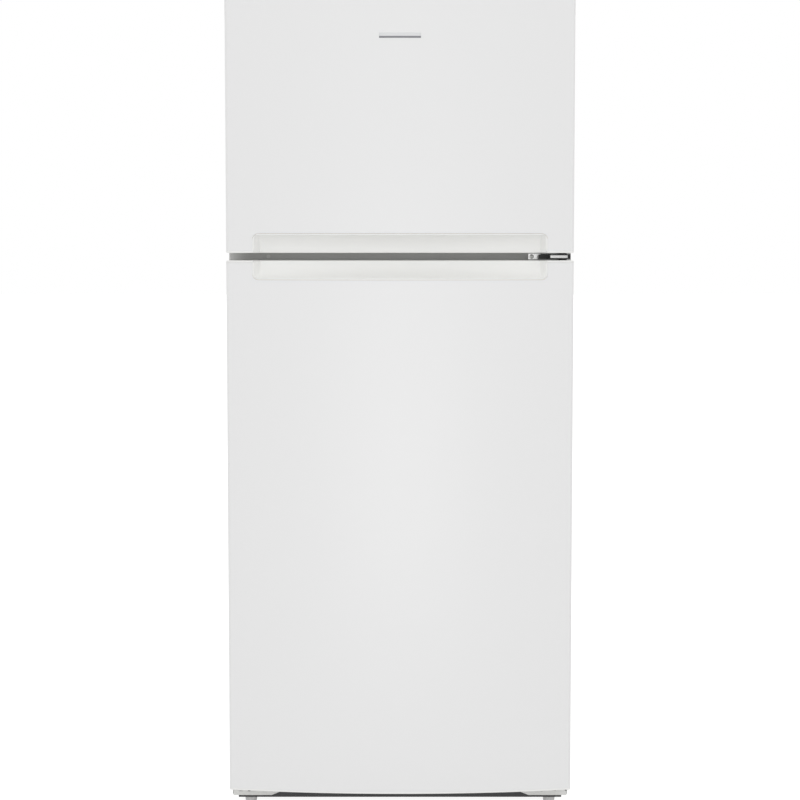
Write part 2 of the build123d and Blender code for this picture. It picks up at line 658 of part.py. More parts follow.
# ---------------------------------------------------------------- doors
def door_skin(z0, z1):
    """Crowned steel wrapper with side walls and a narrow return at the back."""
    skin = door_plan(0, DOOR_BACK_Y, z0, z1) - door_plan(SHEET, DOOR_BACK_Y - SHEET, z0 - 1, z1 + 1)
    return skin - block(-DOOR_HALF + 13, DOOR_HALF - 13, DOOR_BACK_Y - 3, DOOR_BACK_Y + 1, z0 - 1, z1 + 1)


def end_edges(solid, z):
    """Outline edges of the end face at height z."""
    return [e for e in solid.edges() if abs(e.bounding_box().min.Z - z) < 0.01
            and abs(e.bounding_box().max.Z - z) < 0.01]


def plain_cap(z_end, inward):
    """End cap: a plate with rounded outer edges and a rim that plugs into the skin."""
    z_a, z_b = sorted((z_end, z_end + inward * CAP_T))
    plate = door_plan(0, DOOR_BACK_Y, z_a, z_b)
    plate = fillet(end_edges(plate, z_end), CAP_ROUND)
    r_a, r_b = sorted((z_end + inward * CAP_T, z_end + inward * (CAP_T + 10)))
    rim = door_plan(SHEET + GAP, DOOR_BACK_Y - SHEET - GAP, r_a, r_b)
    rim -= door_plan(SHEET + GAP + 2.5, DOOR_BACK_Y - SHEET - GAP - 2.5, r_a - 1, r_b + 1)
    return plate + rim


SCOOP_BACK = -320.0       # deepest line of the grip recess
GRIP_WALL = 3.0


def grip_block(z_end, inward, grow, back_y):
    """Block of the recess moulding, flush with the crown, in the door's plan."""
    z_a, z_b = sorted((z_end, z_end + inward * (GRIP_H + 8 + grow)))
    plan = door_plan(0, DOOR_BACK_Y, z_a, z_b)
    half = GRIP_HALF + grow
    low = block(-half, half, -400, back_y, *sorted((z_end - inward, z_end + inward * (GRIP_H + grow))))
    high = block(-half, half, -345, back_y, *sorted((z_end, z_end + inward * (GRIP_H + 8 + grow))))
    return plan & (low + high)


def grip_void(z_end, inward):
    """Space of the scoop: curved back wall with a finger groove behind the front edge."""
    def point(y, depth):
        return (0, y, z_end + inward * depth)
    front = Polyline(point(-326, -1), point(-400, -1), point(-400, GRIP_H), point(-341, GRIP_H))
    groove = ThreePointArc(point(-341, GRIP_H), point(-330.5, GRIP_H + 7.5), point(SCOOP_BACK, GRIP_H - 3))
    wall = ThreePointArc(point(SCOOP_BACK, GRIP_H - 3), point(SCOOP_BACK + 1.2, 17), point(-326, -1))
    side = Pos(-GRIP_HALF, 0, 0) * extrude(make_face(front + groove + wall), amount=2 * GRIP_HALF, dir=(1, 0, 0))
    slope = 11.0
    plan = Polyline((-GRIP_HALF, -400, 0), (GRIP_HALF, -400, 0), (GRIP_HALF, -352, 0),
                    (GRIP_HALF - slope, -318, 0), (-GRIP_HALF + slope, -318, 0), (-GRIP_HALF, -352, 0),
                    close=True)
    tall = 2 * (GRIP_H + 20)
    footprint = Pos(0, 0, z_end - tall / 2) * extrude(make_face(plan), amount=tall, dir=(0, 0, 1))
    z_far = z_end + inward * (GRIP_H + 8)
    window = block(-GRIP_HALF, GRIP_HALF, -401, -300, *sorted((z_end - inward * 20, z_far)))
    far_edges = [e for e in window.edges().filter_by(Axis.Y) if abs(e.center().Z - z_far) < 0.1]
    window = fillet(far_edges, GRIP_R + 6)
    return side & footprint & window


def grip_cap(z_end, inward):
    """End cap with the scooped grip that runs across the door."""
    cap = plain_cap(z_end, inward) + grip_block(z_end, inward, GRIP_WALL, SCOOP_BACK + 5)
    return cap - grip_void(z_end, inward)


def hinge_bore(z_end, inward):
    """Hole in a door end for the hinge pin."""
    z_a, z_b = sorted((z_end - inward, z_end + inward * 17))
    return rod("z", HINGE_X, HINGE_Y, (z_a + z_b) / 2, PIN_R + PIN_FIT, z_b - z_a)


def hinge_boss(z_end, inward):
    """Thick part of a door end around the hinge pin."""
    z_a, z_b = sorted((z_end + inward * CAP_T, z_end + inward * 19))
    return rod("z", HINGE_X, HINGE_Y, (z_a + z_b) / 2, 10, z_b - z_a)


def door_liner(z0, z1):
    """Formed inner panel: a flat rim for the seal and a hollow raised rib inside it."""
    y0 = DOOR_BACK_Y
    panel = block(-338, 338, y0, y0 + LINER, z0 + 9, z1 - 9)
    outer, inner = DYKE_X[1], DYKE_X[0]
    z_out = (z0 + 45, z1 - 62)
    z_in = (z_out[0] + 28, z_out[1] - 28)
    rib = frame_y(outer, inner, z_out, z_in, y0, DYKE_Y)
    hollow = frame_y(outer - LINER, inner + LINER, (z_out[0] + LINER, z_out[1] - LINER),
                     (z_in[0] - LINER, z_in[1] + LINER), y0 - 1, DYKE_Y - LINER)
    return panel + rib - hollow


def door_gasket(z0, z1):
    """Flexible seal around the door liner, as a plain rectangular ring."""
    z_out = (z0 + 10, z1 - 10)
    z_in = (z_out[0] + GASKET_W, z_out[1] - GASKET_W)
    y0 = DOOR_BACK_Y + LINER
    return frame_y(GASKET_X, GASKET_X - GASKET_W, z_out, z_in, y0, CAB_FRONT_Y - 0.5)


def door_foam(z0, z1, grip_end, inward):
    """Insulation that fills the door between the skin, the caps and the liner."""
    inset = SHEET + GAP
    foam = door_plan(inset, DOOR_BACK_Y - inset, z0 + CAP_T + 11, z1 - CAP_T - 11)
    foam -= grip_block(grip_end, inward, GRIP_WALL + GAP, SCOOP_BACK + 5 + GAP)
    for z_end, way in ((z0, 1), (z1, -1)):
        z_a, z_b = sorted((z_end, z_end + way * 21))
        foam -= rod("z", HINGE_X, HINGE_Y, (z_a + z_b) / 2, 10.5, z_b - z_a)
    return foam


def door_rack(z, height):
    """Moulded door shelf: an open tray between the door ribs."""
    y0, y1 = DOOR_BACK_Y + LINER + GAP, DOOR_BACK_Y + LINER + RACK_DEPTH
    x = DYKE_X[0] - 0.6
    tray = block(-x, x, y0, y1, z, z + height)
    tray = fillet(tray.edges().filter_by(Axis.Z).group_by(Axis.Y)[-1], 14)
    cavity = block(-x + 2.5, x - 2.5, y0 + 2.5, y1 - 2.5, z + 2.5, z + height + 1)
    cavity = fillet(cavity.edges().filter_by(Axis.Z).group_by(Axis.Y)[-1], 11.5)
    return tray - cavity


FREEZER_RACKS = ((1236.0, 95.0), (1420.0, 75.0))                          # level and height
FRIDGE_RACKS = ((138.0, 125.0), (410.0, 95.0), (650.0, 95.0), (880.0, 80.0))


def badge():
    """Blank plate on the freezer door, following the crown."""
    z = 1585.0
    plate = door_plan(-0.8, DOOR_BACK_Y, z - 5, z + 5) - door_plan(0, DOOR_BACK_Y + 5, z - 6, z + 6)
    return plate & block(-41.5, 41.5, -380, -360, z - 6, z + 6)


def build_door(prefix, z_range, grip_at_bottom, racks):
    z0, z1 = z_range
    grip_end, inward = (z0, 1) if grip_at_bottom else (z1, -1)
    plain_end = z1 if grip_at_bottom else z0
    skin = door_skin(z0 + CAP_T, z1 - CAP_T) - grip_block(grip_end, inward, GRIP_WALL, SCOOP_BACK + 5)
    save(f"{prefix}_door_skin", skin)
    grip = grip_cap(grip_end, inward) + hinge_boss(grip_end, inward) - hinge_bore(grip_end, inward)
    save(f"{prefix}_door_grip_cap", grip)
    cap = plain_cap(plain_end, -inward) + hinge_boss(plain_end, -inward) - hinge_bore(plain_end, -inward)
    save(f"{prefix}_door_end_cap", cap)
    save(f"{prefix}_door_foam", door_foam(z0, z1, grip_end, inward))
    save(f"{prefix}_door_liner", door_liner(z0, z1))
    save(f"{prefix}_door_gasket", door_gasket(z0, z1))
    save(f"{prefix}_door_racks", group([door_rack(level, height) for level, height in racks]))


# ---------------------------------------------------------------- make every piece
save("side_panel_right", side_panel())
save("side_panel_left", mirror_x(side_panel()))
save("top_panel", top_panel())
save("back_panel", back_panel())
save("base_pan", base_pan())
save("mullion_rail", mullion_rail())
save("base_rail", base_rail())
save("machine_tray", machine_tray())
save("fridge_liner", fridge_liner())
save("freezer_liner", freezer_liner())
save("cabinet_foam", cabinet_foam())
save("rear_cover", rear_cover())
save("cord_gland", cord_gland())
save("wall_spacers", wall_spacers())

left_holes = [(x, z, SCREW_HOLE_R) for x, z in LEFT_SCREWS] + list(LEFT_HOLES)
save("leg_bracket_left", mirror_x(leg_bracket(left_holes)))
save("bottom_hinge", bottom_hinge())
save("centre_hinge", centre_hinge())
save("centre_hinge_spacers", centre_hinge_spacers())
save("top_hinge", top_hinge())
save("top_hinge_cover", top_hinge_cover())
save("cabinet_screws", cabinet_screws())
save("hole_plugs", hole_plugs())
for word, side in (("left", -1), ("right", 1)):
    save(f"levelling_leg_{word}", levelling_leg(side))
    save(f"roller_{word}", roller(side))
    save(f"crisper_{word}", crisper(side))

save("freezer_air_cover", freezer_air_cover())
save("evaporator_fan", evaporator_fan())
save("evaporator_fan_motor", fan_motor(0, 265, FAN_Z, 16))
save("evaporator", evaporator())
save("freezer_shelf", freezer_shelf())

save("shelf_frames", group([crisper_cover_frame()] + [shelf_frame(z) for z in SHELF_Z]))
save("shelf_glasses", group([crisper_cover_glass()] + [shelf_glass(z) for z in SHELF_Z]))
save("control_housing", control_housing())
save("light_lens", light_lens())
save("freezer_dial", dial(-1))
save("fridge_dial", dial(1))
save("light_switch_plunger", light_switch_plunger())

save("compressor", compressor())
save("condenser", condenser())
save("condenser_fan", condenser_fan())
save("condenser_fan_motor", condenser_fan_motor())
save("drain_pan", drain_pan())

build_door("freezer", FREEZER_DOOR_Z, True, FREEZER_RACKS)
build_door("fridge", FRIDGE_DOOR_Z, False, FRIDGE_RACKS)
save("badge", badge())
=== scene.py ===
import json
import math

import bpy
import numpy as np
from bpy.props import FloatProperty, FloatVectorProperty, PointerProperty
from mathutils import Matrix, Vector


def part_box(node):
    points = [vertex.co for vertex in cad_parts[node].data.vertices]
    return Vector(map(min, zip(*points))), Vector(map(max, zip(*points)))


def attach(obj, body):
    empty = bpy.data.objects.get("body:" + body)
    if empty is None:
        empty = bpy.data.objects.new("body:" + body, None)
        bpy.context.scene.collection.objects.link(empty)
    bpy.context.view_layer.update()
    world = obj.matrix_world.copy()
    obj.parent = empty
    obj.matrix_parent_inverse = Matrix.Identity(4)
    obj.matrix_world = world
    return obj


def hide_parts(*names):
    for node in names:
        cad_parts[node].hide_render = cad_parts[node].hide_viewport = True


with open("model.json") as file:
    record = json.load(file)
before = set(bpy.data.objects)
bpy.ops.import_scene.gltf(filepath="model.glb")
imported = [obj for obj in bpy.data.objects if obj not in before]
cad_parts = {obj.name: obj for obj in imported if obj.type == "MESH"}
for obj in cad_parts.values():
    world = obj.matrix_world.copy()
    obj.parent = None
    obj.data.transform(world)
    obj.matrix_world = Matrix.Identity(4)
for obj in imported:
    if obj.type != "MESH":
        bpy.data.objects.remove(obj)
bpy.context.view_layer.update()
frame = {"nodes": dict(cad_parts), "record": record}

bl_info = {
    "name": "Top freezer refrigerator",
    "version": (1, 0, 0),
    "blender": (4, 5, 0),
    "location": "View3D > Sidebar > Refrigerator",
    "description": "Builds the visible pieces and finishes of a white top freezer refrigerator",
    "category": "Object",
}

MM = 0.001
NODES = frame["nodes"]
SLOT_OF = {row["node"]: row["material_slot"] for row in frame["record"]["subparts"]}
MATERIALS = {}    # filled by make_materials, keyed by slot


# ------------------------------------------------------------------ sizes from the frame
def size_of(node):
    """Low and high corner of a CAD node as numpy arrays."""
    low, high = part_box(node)
    return np.array(low), np.array(high)


SKIN_LOW, SKIN_HIGH = size_of("fridge_door_skin")
DOOR_HALF = SKIN_HIGH[0]
DOOR_BACK = SKIN_HIGH[1]
CROWN_FRONT = SKIN_LOW[1]
CROWN_SAG = 32.2 * MM    # how far the crown's middle stands before its ends
CROWN_RADIUS = (DOOR_HALF ** 2 + CROWN_SAG ** 2) / (2 * CROWN_SAG)
CORNER_R = 6 * MM    # rounding of the doors' front edges
SKIN_HALF = DOOR_HALF - 0.25 * MM    # the sheet sits just inside the moulded ends
GRIP_RIM = 3 * MM    # width of the grip's flush rim
REAR_R = 2 * MM    # rounding of the doors' rear edges
EDGE_ROW = 0.6 * MM    # width of the row of faces beside a cut edge, which keeps its shading narrow


def crown(x):
    """Y of the door front at x: a circular arc whose front edges are rounded off."""
    x = np.abs(x)
    arc = CROWN_FRONT + CROWN_RADIUS - np.sqrt(CROWN_RADIUS ** 2 - np.minimum(x, DOOR_HALF) ** 2)
    over = np.clip(x - (DOOR_HALF - CORNER_R), 0, CORNER_R)
    return arc + CORNER_R - np.sqrt(CORNER_R ** 2 - over ** 2)


# ------------------------------------------------------------------ mesh tools
def grid_faces(rows, columns, wrap_rows=False, wrap_columns=False):
    """Quads of a rows by columns grid of points, numbered row by row; either way may close on itself."""
    r = np.arange(rows if wrap_rows else rows - 1)
    c = np.arange(columns if wrap_columns else columns - 1)
    r, c = np.meshgrid(r, c, indexing="ij")
    r2, c2 = (r + 1) % rows, (c + 1) % columns
    quads = np.stack([r * columns + c, r * columns + c2, r2 * columns + c2, r2 * columns + c], axis=-1)
    return quads.reshape(-1, 4)


def make_mesh(name, points, quads, triangles=None):
    """A mesh from point and face arrays, filled with foreach_set."""
    points = np.asarray(points, float).reshape(-1, 3)
    faces = [np.asarray(quads, int).reshape(-1, 4)]
    if triangles is not None:
        faces.append(np.asarray(triangles, int).reshape(-1, 3))
    loops = np.concatenate([f.ravel() for f in faces])
    totals = np.concatenate([np.full(len(f), f.shape[1]) for f in faces])
    starts = np.concatenate([[0], np.cumsum(totals)[:-1]])
    mesh = bpy.data.meshes.new(name)
    mesh.vertices.add(len(points))
    mesh.vertices.foreach_set("co", points.astype(np.float32).ravel())
    mesh.loops.add(len(loops))
    mesh.loops.foreach_set("vertex_index", loops.astype(np.int32))
    mesh.polygons.add(len(totals))
    mesh.polygons.foreach_set("loop_start", starts.astype(np.int32))
    mesh.update(calc_edges=True)
    mesh.validate()
    return mesh


def place(name, mesh, body, slot, replaces=(), smooth=True):
    """Puts a finished mesh in the scene as a piece that rides on a CAD body, in the finish of its slot."""
    if smooth:
        mesh.polygons.foreach_set("use_smooth", np.ones(len(mesh.polygons), bool))
        mesh.update()
    piece = bpy.data.objects.new(name, mesh)
    bpy.context.scene.collection.objects.link(piece)
    mesh.materials.append(MATERIALS[slot])
    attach(piece, body)
    if replaces:
        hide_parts(*replaces)
    return piece


def gather(parts):
    """Several (points, quads, triangles) sets as one."""
    points, quads, triangles, count = [], [], [], 0
    for p, q, t in parts:
        p = np.asarray(p, float).reshape(-1, 3)
        points.append(p)
        quads.append(np.asarray(q, int).reshape(-1, 4) + count)
        triangles.append(np.asarray(t, int).reshape(-1, 3) + count)
        count += len(p)
    return np.concatenate(points), np.concatenate(quads), np.concatenate(triangles)


# Turns that take the +z of a turned piece to the named direction.
TURNS = {
    "z": np.eye(3),
    "-y": np.array([[1, 0, 0], [0, 0, -1], [0, 1, 0]]),
    "y": np.array([[-1, 0, 0], [0, 0, 1], [0, 1, 0]]),
}


def lathe(profile, centre, axis, steps=48, flutes=None):
    """A profile of (radius, height) turned about an axis; the first and last points close on the axis.
    flutes scales the radius as a function of angle and height."""
    profile = np.asarray(profile, float)
    angle = np.linspace(0, 2 * math.pi, steps, endpoint=False)
    radius = np.repeat(profile[1:-1, :1], steps, axis=1)
    height = np.repeat(profile[1:-1, 1:], steps, axis=1)
    if flutes is not None:
        radius = radius * flutes(angle[None, :], height)
    ring = np.stack([radius * np.cos(angle), radius * np.sin(angle), height], axis=-1).reshape(-1, 3)
    poles = np.array([[0, 0, profile[0, 1]], [0, 0, profile[-1, 1]]])
    rows = len(profile) - 2
    quads = grid_faces(rows, steps, wrap_columns=True)
    around, following = np.arange(steps), (np.arange(steps) + 1) % steps
    first, last = rows * steps, rows * steps + 1
    top = (rows - 1) * steps
    low = np.stack([np.full(steps, first), following, around], axis=-1)
    high = np.stack([np.full(steps, last), top + around, top + following], axis=-1)
    points = np.concatenate([ring, poles])
    return points @ TURNS[axis].T + np.asarray(centre), quads, np.concatenate([low, high])


def tube(path, radius, sides=16):
    """A round section carried along a path of points, with its frame turned as little as possible."""
    path = np.asarray(path, float)
    tangent = np.gradient(path, axis=0)
    tangent /= np.linalg.norm(tangent, axis=1)[:, None]
    start = np.array([0, 0, 1.0]) if abs(tangent[0, 2]) < 0.9 else np.array([1.0, 0, 0])
    normals = [np.cross(tangent[0], start)]
    for t in tangent[1:]:
        normals.append(normals[-1] - t * np.dot(normals[-1], t))
    normal = np.array(normals)
    normal /= np.linalg.norm(normal, axis=1)[:, None]
    binormal = np.cross(tangent, normal)
    angle = np.linspace(0, 2 * math.pi, sides, endpoint=False)
    over, up = np.cos(angle)[None, :, None], np.sin(angle)[None, :, None]
    ring = path[:, None] + radius * (over * normal[:, None] + up * binormal[:, None])
    rows = len(path)
    points = np.concatenate([ring.reshape(-1, 3), path[:1], path[-1:]])
    quads = grid_faces(rows, sides, wrap_columns=True)
    around, following = np.arange(sides), (np.arange(sides) + 1) % sides
    first, last = rows * sides, rows * sides + 1
    end = (rows - 1) * sides
    ends = np.concatenate([
        np.stack([np.full(sides, first), following, around], axis=-1),
        np.stack([np.full(sides, last), end + around, end + following], axis=-1)])
    return points, quads, ends


def smooth_step(t):
    """Zero to one with flat ends."""
    t = np.clip(t, 0, 1)
    return t * t * (3 - 2 * t)


def solidify(piece, thickness):
    """Gives an open sheet its wall thickness, behind its face."""
    wall = piece.modifiers.new("wall", "SOLIDIFY")
    wall.thickness = thickness
    wall.offset = -1
    wall.use_even_offset = True
    return piece


# ------------------------------------------------------------------ material tools
def linear(text):
    """An sRGB hex colour as linear RGBA."""
    parts = [int(text[i:i + 2], 16) / 255 for i in (0, 2, 4)]
    return tuple(p / 12.92 if p <= 0.04045 else ((p + 0.055) / 1.055) ** 2.4 for p in parts) + (1.0,)


def add(tree, kind, links=(), inputs=(), **settings):
    """Adds a node, sets its properties and input values, and joins (socket, source) links."""
    made = tree.nodes.new(kind)
    for name, value in settings.items():
        setattr(made, name, value)
    for name, value in dict(inputs).items():
        made.inputs[name].default_value = value
    for name, source in dict(links).items():
        tree.links.new(source, made.inputs[name])
    return made


def start_material(name, colour, roughness, **shader_inputs):
    """A Principled material with its constants on the shader's own sockets; the colour is sRGB hex text
    or a linear triple."""
    material = bpy.data.materials.new(name)
    material.use_nodes = True
    tree = material.node_tree
    shader = tree.nodes["Principled BSDF"]
    shader.inputs["Base Color"].default_value = linear(colour) if isinstance(colour, str) else (*colour, 1.0)
    shader.inputs["Roughness"].default_value = roughness
    for socket, value in shader_inputs.items():
        shader.inputs[socket.replace("_", " ")].default_value = value
    return material, tree, shader


def place_of(tree, scale=(1, 1, 1)):
    """Object coordinates in metres, stretched where a pattern runs one way."""
    coordinates = add(tree, "ShaderNodeTexCoord")
    return add(tree, "ShaderNodeMapping", {"Vector": coordinates.outputs["Object"]}, {"Scale": scale})


def noise(tree, vector, size, detail=3.0, roughness=0.5):
    """Noise whose cells are about size metres across."""
    return add(tree, "ShaderNodeTexNoise", {"Vector": vector.outputs["Vector"]},
               {"Scale": 1 / size, "Detail": detail, "Roughness": roughness})


def cells(tree, vector, size, feature="F1"):
    """Voronoi cells about size metres across."""
    return add(tree, "ShaderNodeTexVoronoi", {"Vector": vector.outputs["Vector"]}, {"Scale": 1 / size},
               feature=feature)


def spread(tree, value, low, high, source=(0.0, 1.0)):
    """Maps a texture value onto a range."""
    return add(tree, "ShaderNodeMapRange", {"Value": value},
               {"From Min": source[0], "From Max": source[1], "To Min": low, "To Max": high})


def tint(tree, shader, factor, first, second):
    """Blends the shader's base colour between two hex colours by a factor."""
    ramp = add(tree, "ShaderNodeValToRGB", {"Fac": factor})
    ramp.color_ramp.elements[0].color = linear(first)
    ramp.color_ramp.elements[1].color = linear(second)
    tree.links.new(ramp.outputs["Color"], shader.inputs["Base Color"])


def bump(tree, shader, height, distance, strength=1.0):
    """Drives the shader's normal from a height in metres."""
    relief = add(tree, "ShaderNodeBump", {"Height": height}, {"Distance": distance, "Strength": strength})
    tree.links.new(relief.outputs["Normal"], shader.inputs["Normal"])


def vary(tree, shader, value, low, high):
    """Roughness that drifts between two values with a texture."""
    tree.links.new(spread(tree, value, low, high).outputs["Result"], shader.inputs["Roughness"])


# ------------------------------------------------------------------ materials
def door_enamel(look):
    """Coil coated steel, roller painted: white, half gloss, with a faint orange peel of a few mm."""
    material, tree, shader = start_material("door_enamel_coil_coated_steel", look.door_colour,
                                            look.door_roughness)
    where = place_of(tree)
    drift = noise(tree, where, 220 * MM, 2)
    vary(tree, shader, drift.outputs["Fac"], look.door_roughness - 0.03, look.door_roughness + 0.05)
    peel = noise(tree, where, 2.4 * MM, 2, 0.4)
    bump(tree, shader, peel.outputs["Fac"], 0.006 * MM, 0.6)
    return material


def cabinet_enamel():
    """Powder coated steel, sprayed: off-white with a fine stipple about 1.5 mm across."""
    material, tree, shader = start_material("cabinet_enamel_powder_coated_steel", "D4D4D2", 0.48)
    where = place_of(tree)
    stipple = cells(tree, where, 1.6 * MM)
    bump(tree, shader, stipple.outputs["Distance"], 0.05 * MM, 0.5)
    drift = noise(tree, where, 160 * MM, 3)
    vary(tree, shader, drift.outputs["Fac"], 0.42, 0.56)
    tint(tree, shader, drift.outputs["Fac"], "D0D0CE", "D8D8D6")
    return material


def bracket_enamel():
    """Pressed steel, dip painted white: slightly uneven gloss and tone in small patches."""
    material, tree, shader = start_material("bracket_enamel_painted_pressing", "E4E4E2", 0.38)
    where = place_of(tree)
    patch = noise(tree, where, 9 * MM, 4)
    tint(tree, shader, patch.outputs["Fac"], "D6D6D3", "EAEAE8")
    bump(tree, shader, patch.outputs["Fac"], 0.08 * MM, 0.5)
    vary(tree, shader, patch.outputs["Fac"], 0.3, 0.5)
    return material


def dark_enamel():
    """Rolled steel channel, dip painted charcoal: dull, with dust lying in long faint streaks."""
    material, tree, shader = start_material("dark_enamel_rolled_channel", "3A3A3B", 0.55)
    where = place_of(tree, (0.15, 1, 1))
    dust = noise(tree, where, 14 * MM, 5, 0.6)
    tint(tree, shader, dust.outputs["Fac"], "303031", "4B4B4C")
    vary(tree, shader, dust.outputs["Fac"], 0.45, 0.7)
    bump(tree, shader, dust.outputs["Fac"], 0.05 * MM, 0.4)
    return material


def galvanised_steel():
    """Hot dip galvanised sheet: grey metal with soft crystal spangle some 9 mm across."""
    material, tree, shader = start_material("galvanised_sheet_spangled", "B4B7BA", 0.42, Metallic=0.85)
    where = place_of(tree)
    spangle = cells(tree, where, 9 * MM, "SMOOTH_F1")
    tint(tree, shader, spangle.outputs["Color"], "AFB2B5", "BEC0C2")
    vary(tree, shader, spangle.outputs["Color"], 0.38, 0.48)
    scratch = noise(tree, place_of(tree, (1, 1, 30)), 8 * MM, 4)
    bump(tree, shader, scratch.outputs["Fac"], 0.02 * MM, 0.4)
    return material


def plated_steel():
    """Nickel plated steel, cold formed: bright grey with a fine tumbled grain."""
    material, tree, shader = start_material("plated_steel_nickel", "D6D6D5", 0.18, Metallic=1.0)
    grain = noise(tree, place_of(tree), 0.8 * MM, 3)
    vary(tree, shader, grain.outputs["Fac"], 0.12, 0.26)
    bump(tree, shader, grain.outputs["Fac"], 0.01 * MM, 0.5)
    return material


def grip_plastic(look):
    """Injection moulded ABS: warm off-white, satin, with an etched texture finer than a millimetre."""
    material, tree, shader = start_material("grip_abs_moulded_satin", look.grip_colour, 0.42)
    where = place_of(tree)
    etch = noise(tree, where, 0.9 * MM, 3)
    bump(tree, shader, etch.outputs["Fac"], 0.012 * MM, 0.5)
    drift = noise(tree, where, 60 * MM, 2)
    vary(tree, shader, drift.outputs["Fac"], 0.38, 0.5)
    return material


def liner_plastic():
    """Vacuum formed polystyrene: glossy white with the slow ripple of a stretched sheet."""
    material, tree, shader = start_material("liner_polystyrene_formed", "F0F0EE", 0.2)
    where = place_of(tree)
    ripple = noise(tree, where, 45 * MM, 2)
    bump(tree, shader, ripple.outputs["Fac"], 0.35 * MM, 0.35)
    haze = noise(tree, where, 120 * MM, 4)
    vary(tree, shader, haze.outputs["Fac"], 0.14, 0.3)
    return material


def clear_plastic():
    """Clear polystyrene, injection moulded: faint blue tint, with flow haze."""
    material, tree, shader = start_material("clear_polystyrene_moulded", "F7FAFB", 0.06,
                                            Transmission_Weight=0.92, IOR=1.59)
    flow = noise(tree, place_of(tree, (0.3, 1, 1)), 30 * MM, 3)
    vary(tree, shader, flow.outputs["Fac"], 0.04, 0.16)
    bump(tree, shader, flow.outputs["Fac"], 0.05 * MM, 0.3)
    return material


def shelf_glass():
    """Toughened float glass: clear with a green body tint and the faint roller wave of tempering."""
    material, tree, shader = start_material("toughened_glass_float", "F3FAF7", 0.02,
                                            Transmission_Weight=1.0, IOR=1.52)
    wave = noise(tree, place_of(tree, (1, 0.15, 1)), 35 * MM, 1)
    bump(tree, shader, wave.outputs["Fac"], 0.02 * MM, 0.3)
    vary(tree, shader, wave.outputs["Fac"], 0.01, 0.06)
    return material


def moulded_plastic(name, colour, rough, grain=0.7, depth=0.02):
    """Moulded plastic with an etched grain, its size in mm, and a slow drift in gloss."""
    material, tree, shader = start_material(name, colour, rough)
    where = place_of(tree)
    etch = noise(tree, where, grain * MM, 3)
    bump(tree, shader, etch.outputs["Fac"], depth * MM, 0.6)
    drift = noise(tree, where, 40 * MM, 3)
    vary(tree, shader, drift.outputs["Fac"], rough - 0.06, rough + 0.08)
    return material


def gasket_vinyl():
    """Extruded soft vinyl: pale grey, dull, with fine lines along the extrusion and a little bloom."""
    material, tree, shader = start_material("gasket_vinyl_extruded", "D2D2CF", 0.6, Sheen_Weight=0.15)
    where = place_of(tree)
    bloom = noise(tree, where, 25 * MM, 4, 0.6)
    tint(tree, shader, bloom.outputs["Fac"], "C6C6C2", "DBDBD8")
    grain = noise(tree, where, 1.1 * MM, 3)
    bump(tree, shader, grain.outputs["Fac"], 0.03 * MM, 0.5)
    vary(tree, shader, bloom.outputs["Fac"], 0.52, 0.7)
    return material


def insulating_foam():
    """Poured polyurethane foam: straw yellow open cells a few mm across."""
    material, tree, shader = start_material("foam_polyurethane_poured", "D8C690", 0.9)
    where = place_of(tree)
    pores = cells(tree, where, 2.5 * MM)
    tint(tree, shader, pores.outputs["Distance"], "C8B47A", "E2D3A2")
    bump(tree, shader, pores.outputs["Distance"], 0.6 * MM)
    return material


def fibre_board():
    """Pressed fibre board: dark brown-grey with short fibres about 6 mm long."""
    material, tree, shader = start_material("fibre_board_pressed", "4A4642", 0.8)
    fibres = noise(tree, place_of(tree, (0.2, 1, 1)), 1.4 * MM, 5, 0.65)
    tint(tree, shader, fibres.outputs["Fac"], "34302D", "665F58")
    bump(tree, shader, fibres.outputs["Fac"], 0.12 * MM, 0.7)
    return material


def spray_enamel(name, colour, rough):
    """Sprayed black enamel with the slight sag and dust of a coat that isn't polished."""
    material, tree, shader = start_material(name, colour, rough)
    where = place_of(tree)
    sag = noise(tree, where, 6 * MM, 4)
    bump(tree, shader, sag.outputs["Fac"], 0.06 * MM, 0.5)
    dust = noise(tree, where, 50 * MM, 5, 0.6)
    vary(tree, shader, dust.outputs["Fac"], rough - 0.05, rough + 0.2)
    return material


def coil_aluminium():
    """Rolled aluminium fins: pale metal with drawing lines along the roll."""
    material, tree, shader = start_material("fin_aluminium_rolled", "D4D6D8", 0.34, Metallic=1.0)
    lines = noise(tree, place_of(tree, (1, 1, 0.05)), 1.2 * MM, 4)
    bump(tree, shader, lines.outputs["Fac"], 0.02 * MM, 0.5)
    vary(tree, shader, lines.outputs["Fac"], 0.26, 0.46)
    return material


def badge_plate():
    """Anodised aluminium bar, brushed along its length: silver, with painted shade along its lower edge as a
    dark grey band.
    """
    material, tree, shader = start_material("badge_anodised_aluminium_brushed", "C9CACB", 0.38, Metallic=0.6)
    painted_shade_top = size_of("badge")[0][2] + 3.6 * MM    # height where the painted shade on the lower edge ends
    fade = 0.6 * MM
    height = add(tree, "ShaderNodeSeparateXYZ", {"Vector": place_of(tree).outputs["Vector"]})
    band = spread(tree, height.outputs["Z"], 0, 1, (painted_shade_top - fade, painted_shade_top + fade))
    # painted shade: below this height the bar is coloured dark grey in place of the shade and dark reflection
    # under its lower edge
    tint(tree, shader, band.outputs["Result"], "85868A", "DCDDDE")
    lines = noise(tree, place_of(tree, (0.04, 1, 1)), 0.5 * MM, 4)
    bump(tree, shader, lines.outputs["Fac"], 0.01 * MM, 0.6)
    vary(tree, shader, lines.outputs["Fac"], 0.3, 0.48)
    return material


def lens_plastic():
    """Opal acrylic, moulded: milky white, with a painted glow that stands in for the lamp behind it."""
    material, tree, shader = start_material("lens_acrylic_opal", "F6F5EE", 0.3, Transmission_Weight=0.35)
    # painted glow: the lens gives off light itself in place of a lamp behind it
    shader.inputs["Emission Color"].default_value = linear("FFF6E0")
    shader.inputs["Emission Strength"].default_value = 0.35
    prisms = add(tree, "ShaderNodeTexWave", {"Vector": place_of(tree).outputs["Vector"]},
                 {"Scale": 1 / (24 * MM), "Distortion": 0.0}, bands_direction="X")
    bump(tree, shader, prisms.outputs["Fac"], 0.4 * MM, 0.6)
    return material


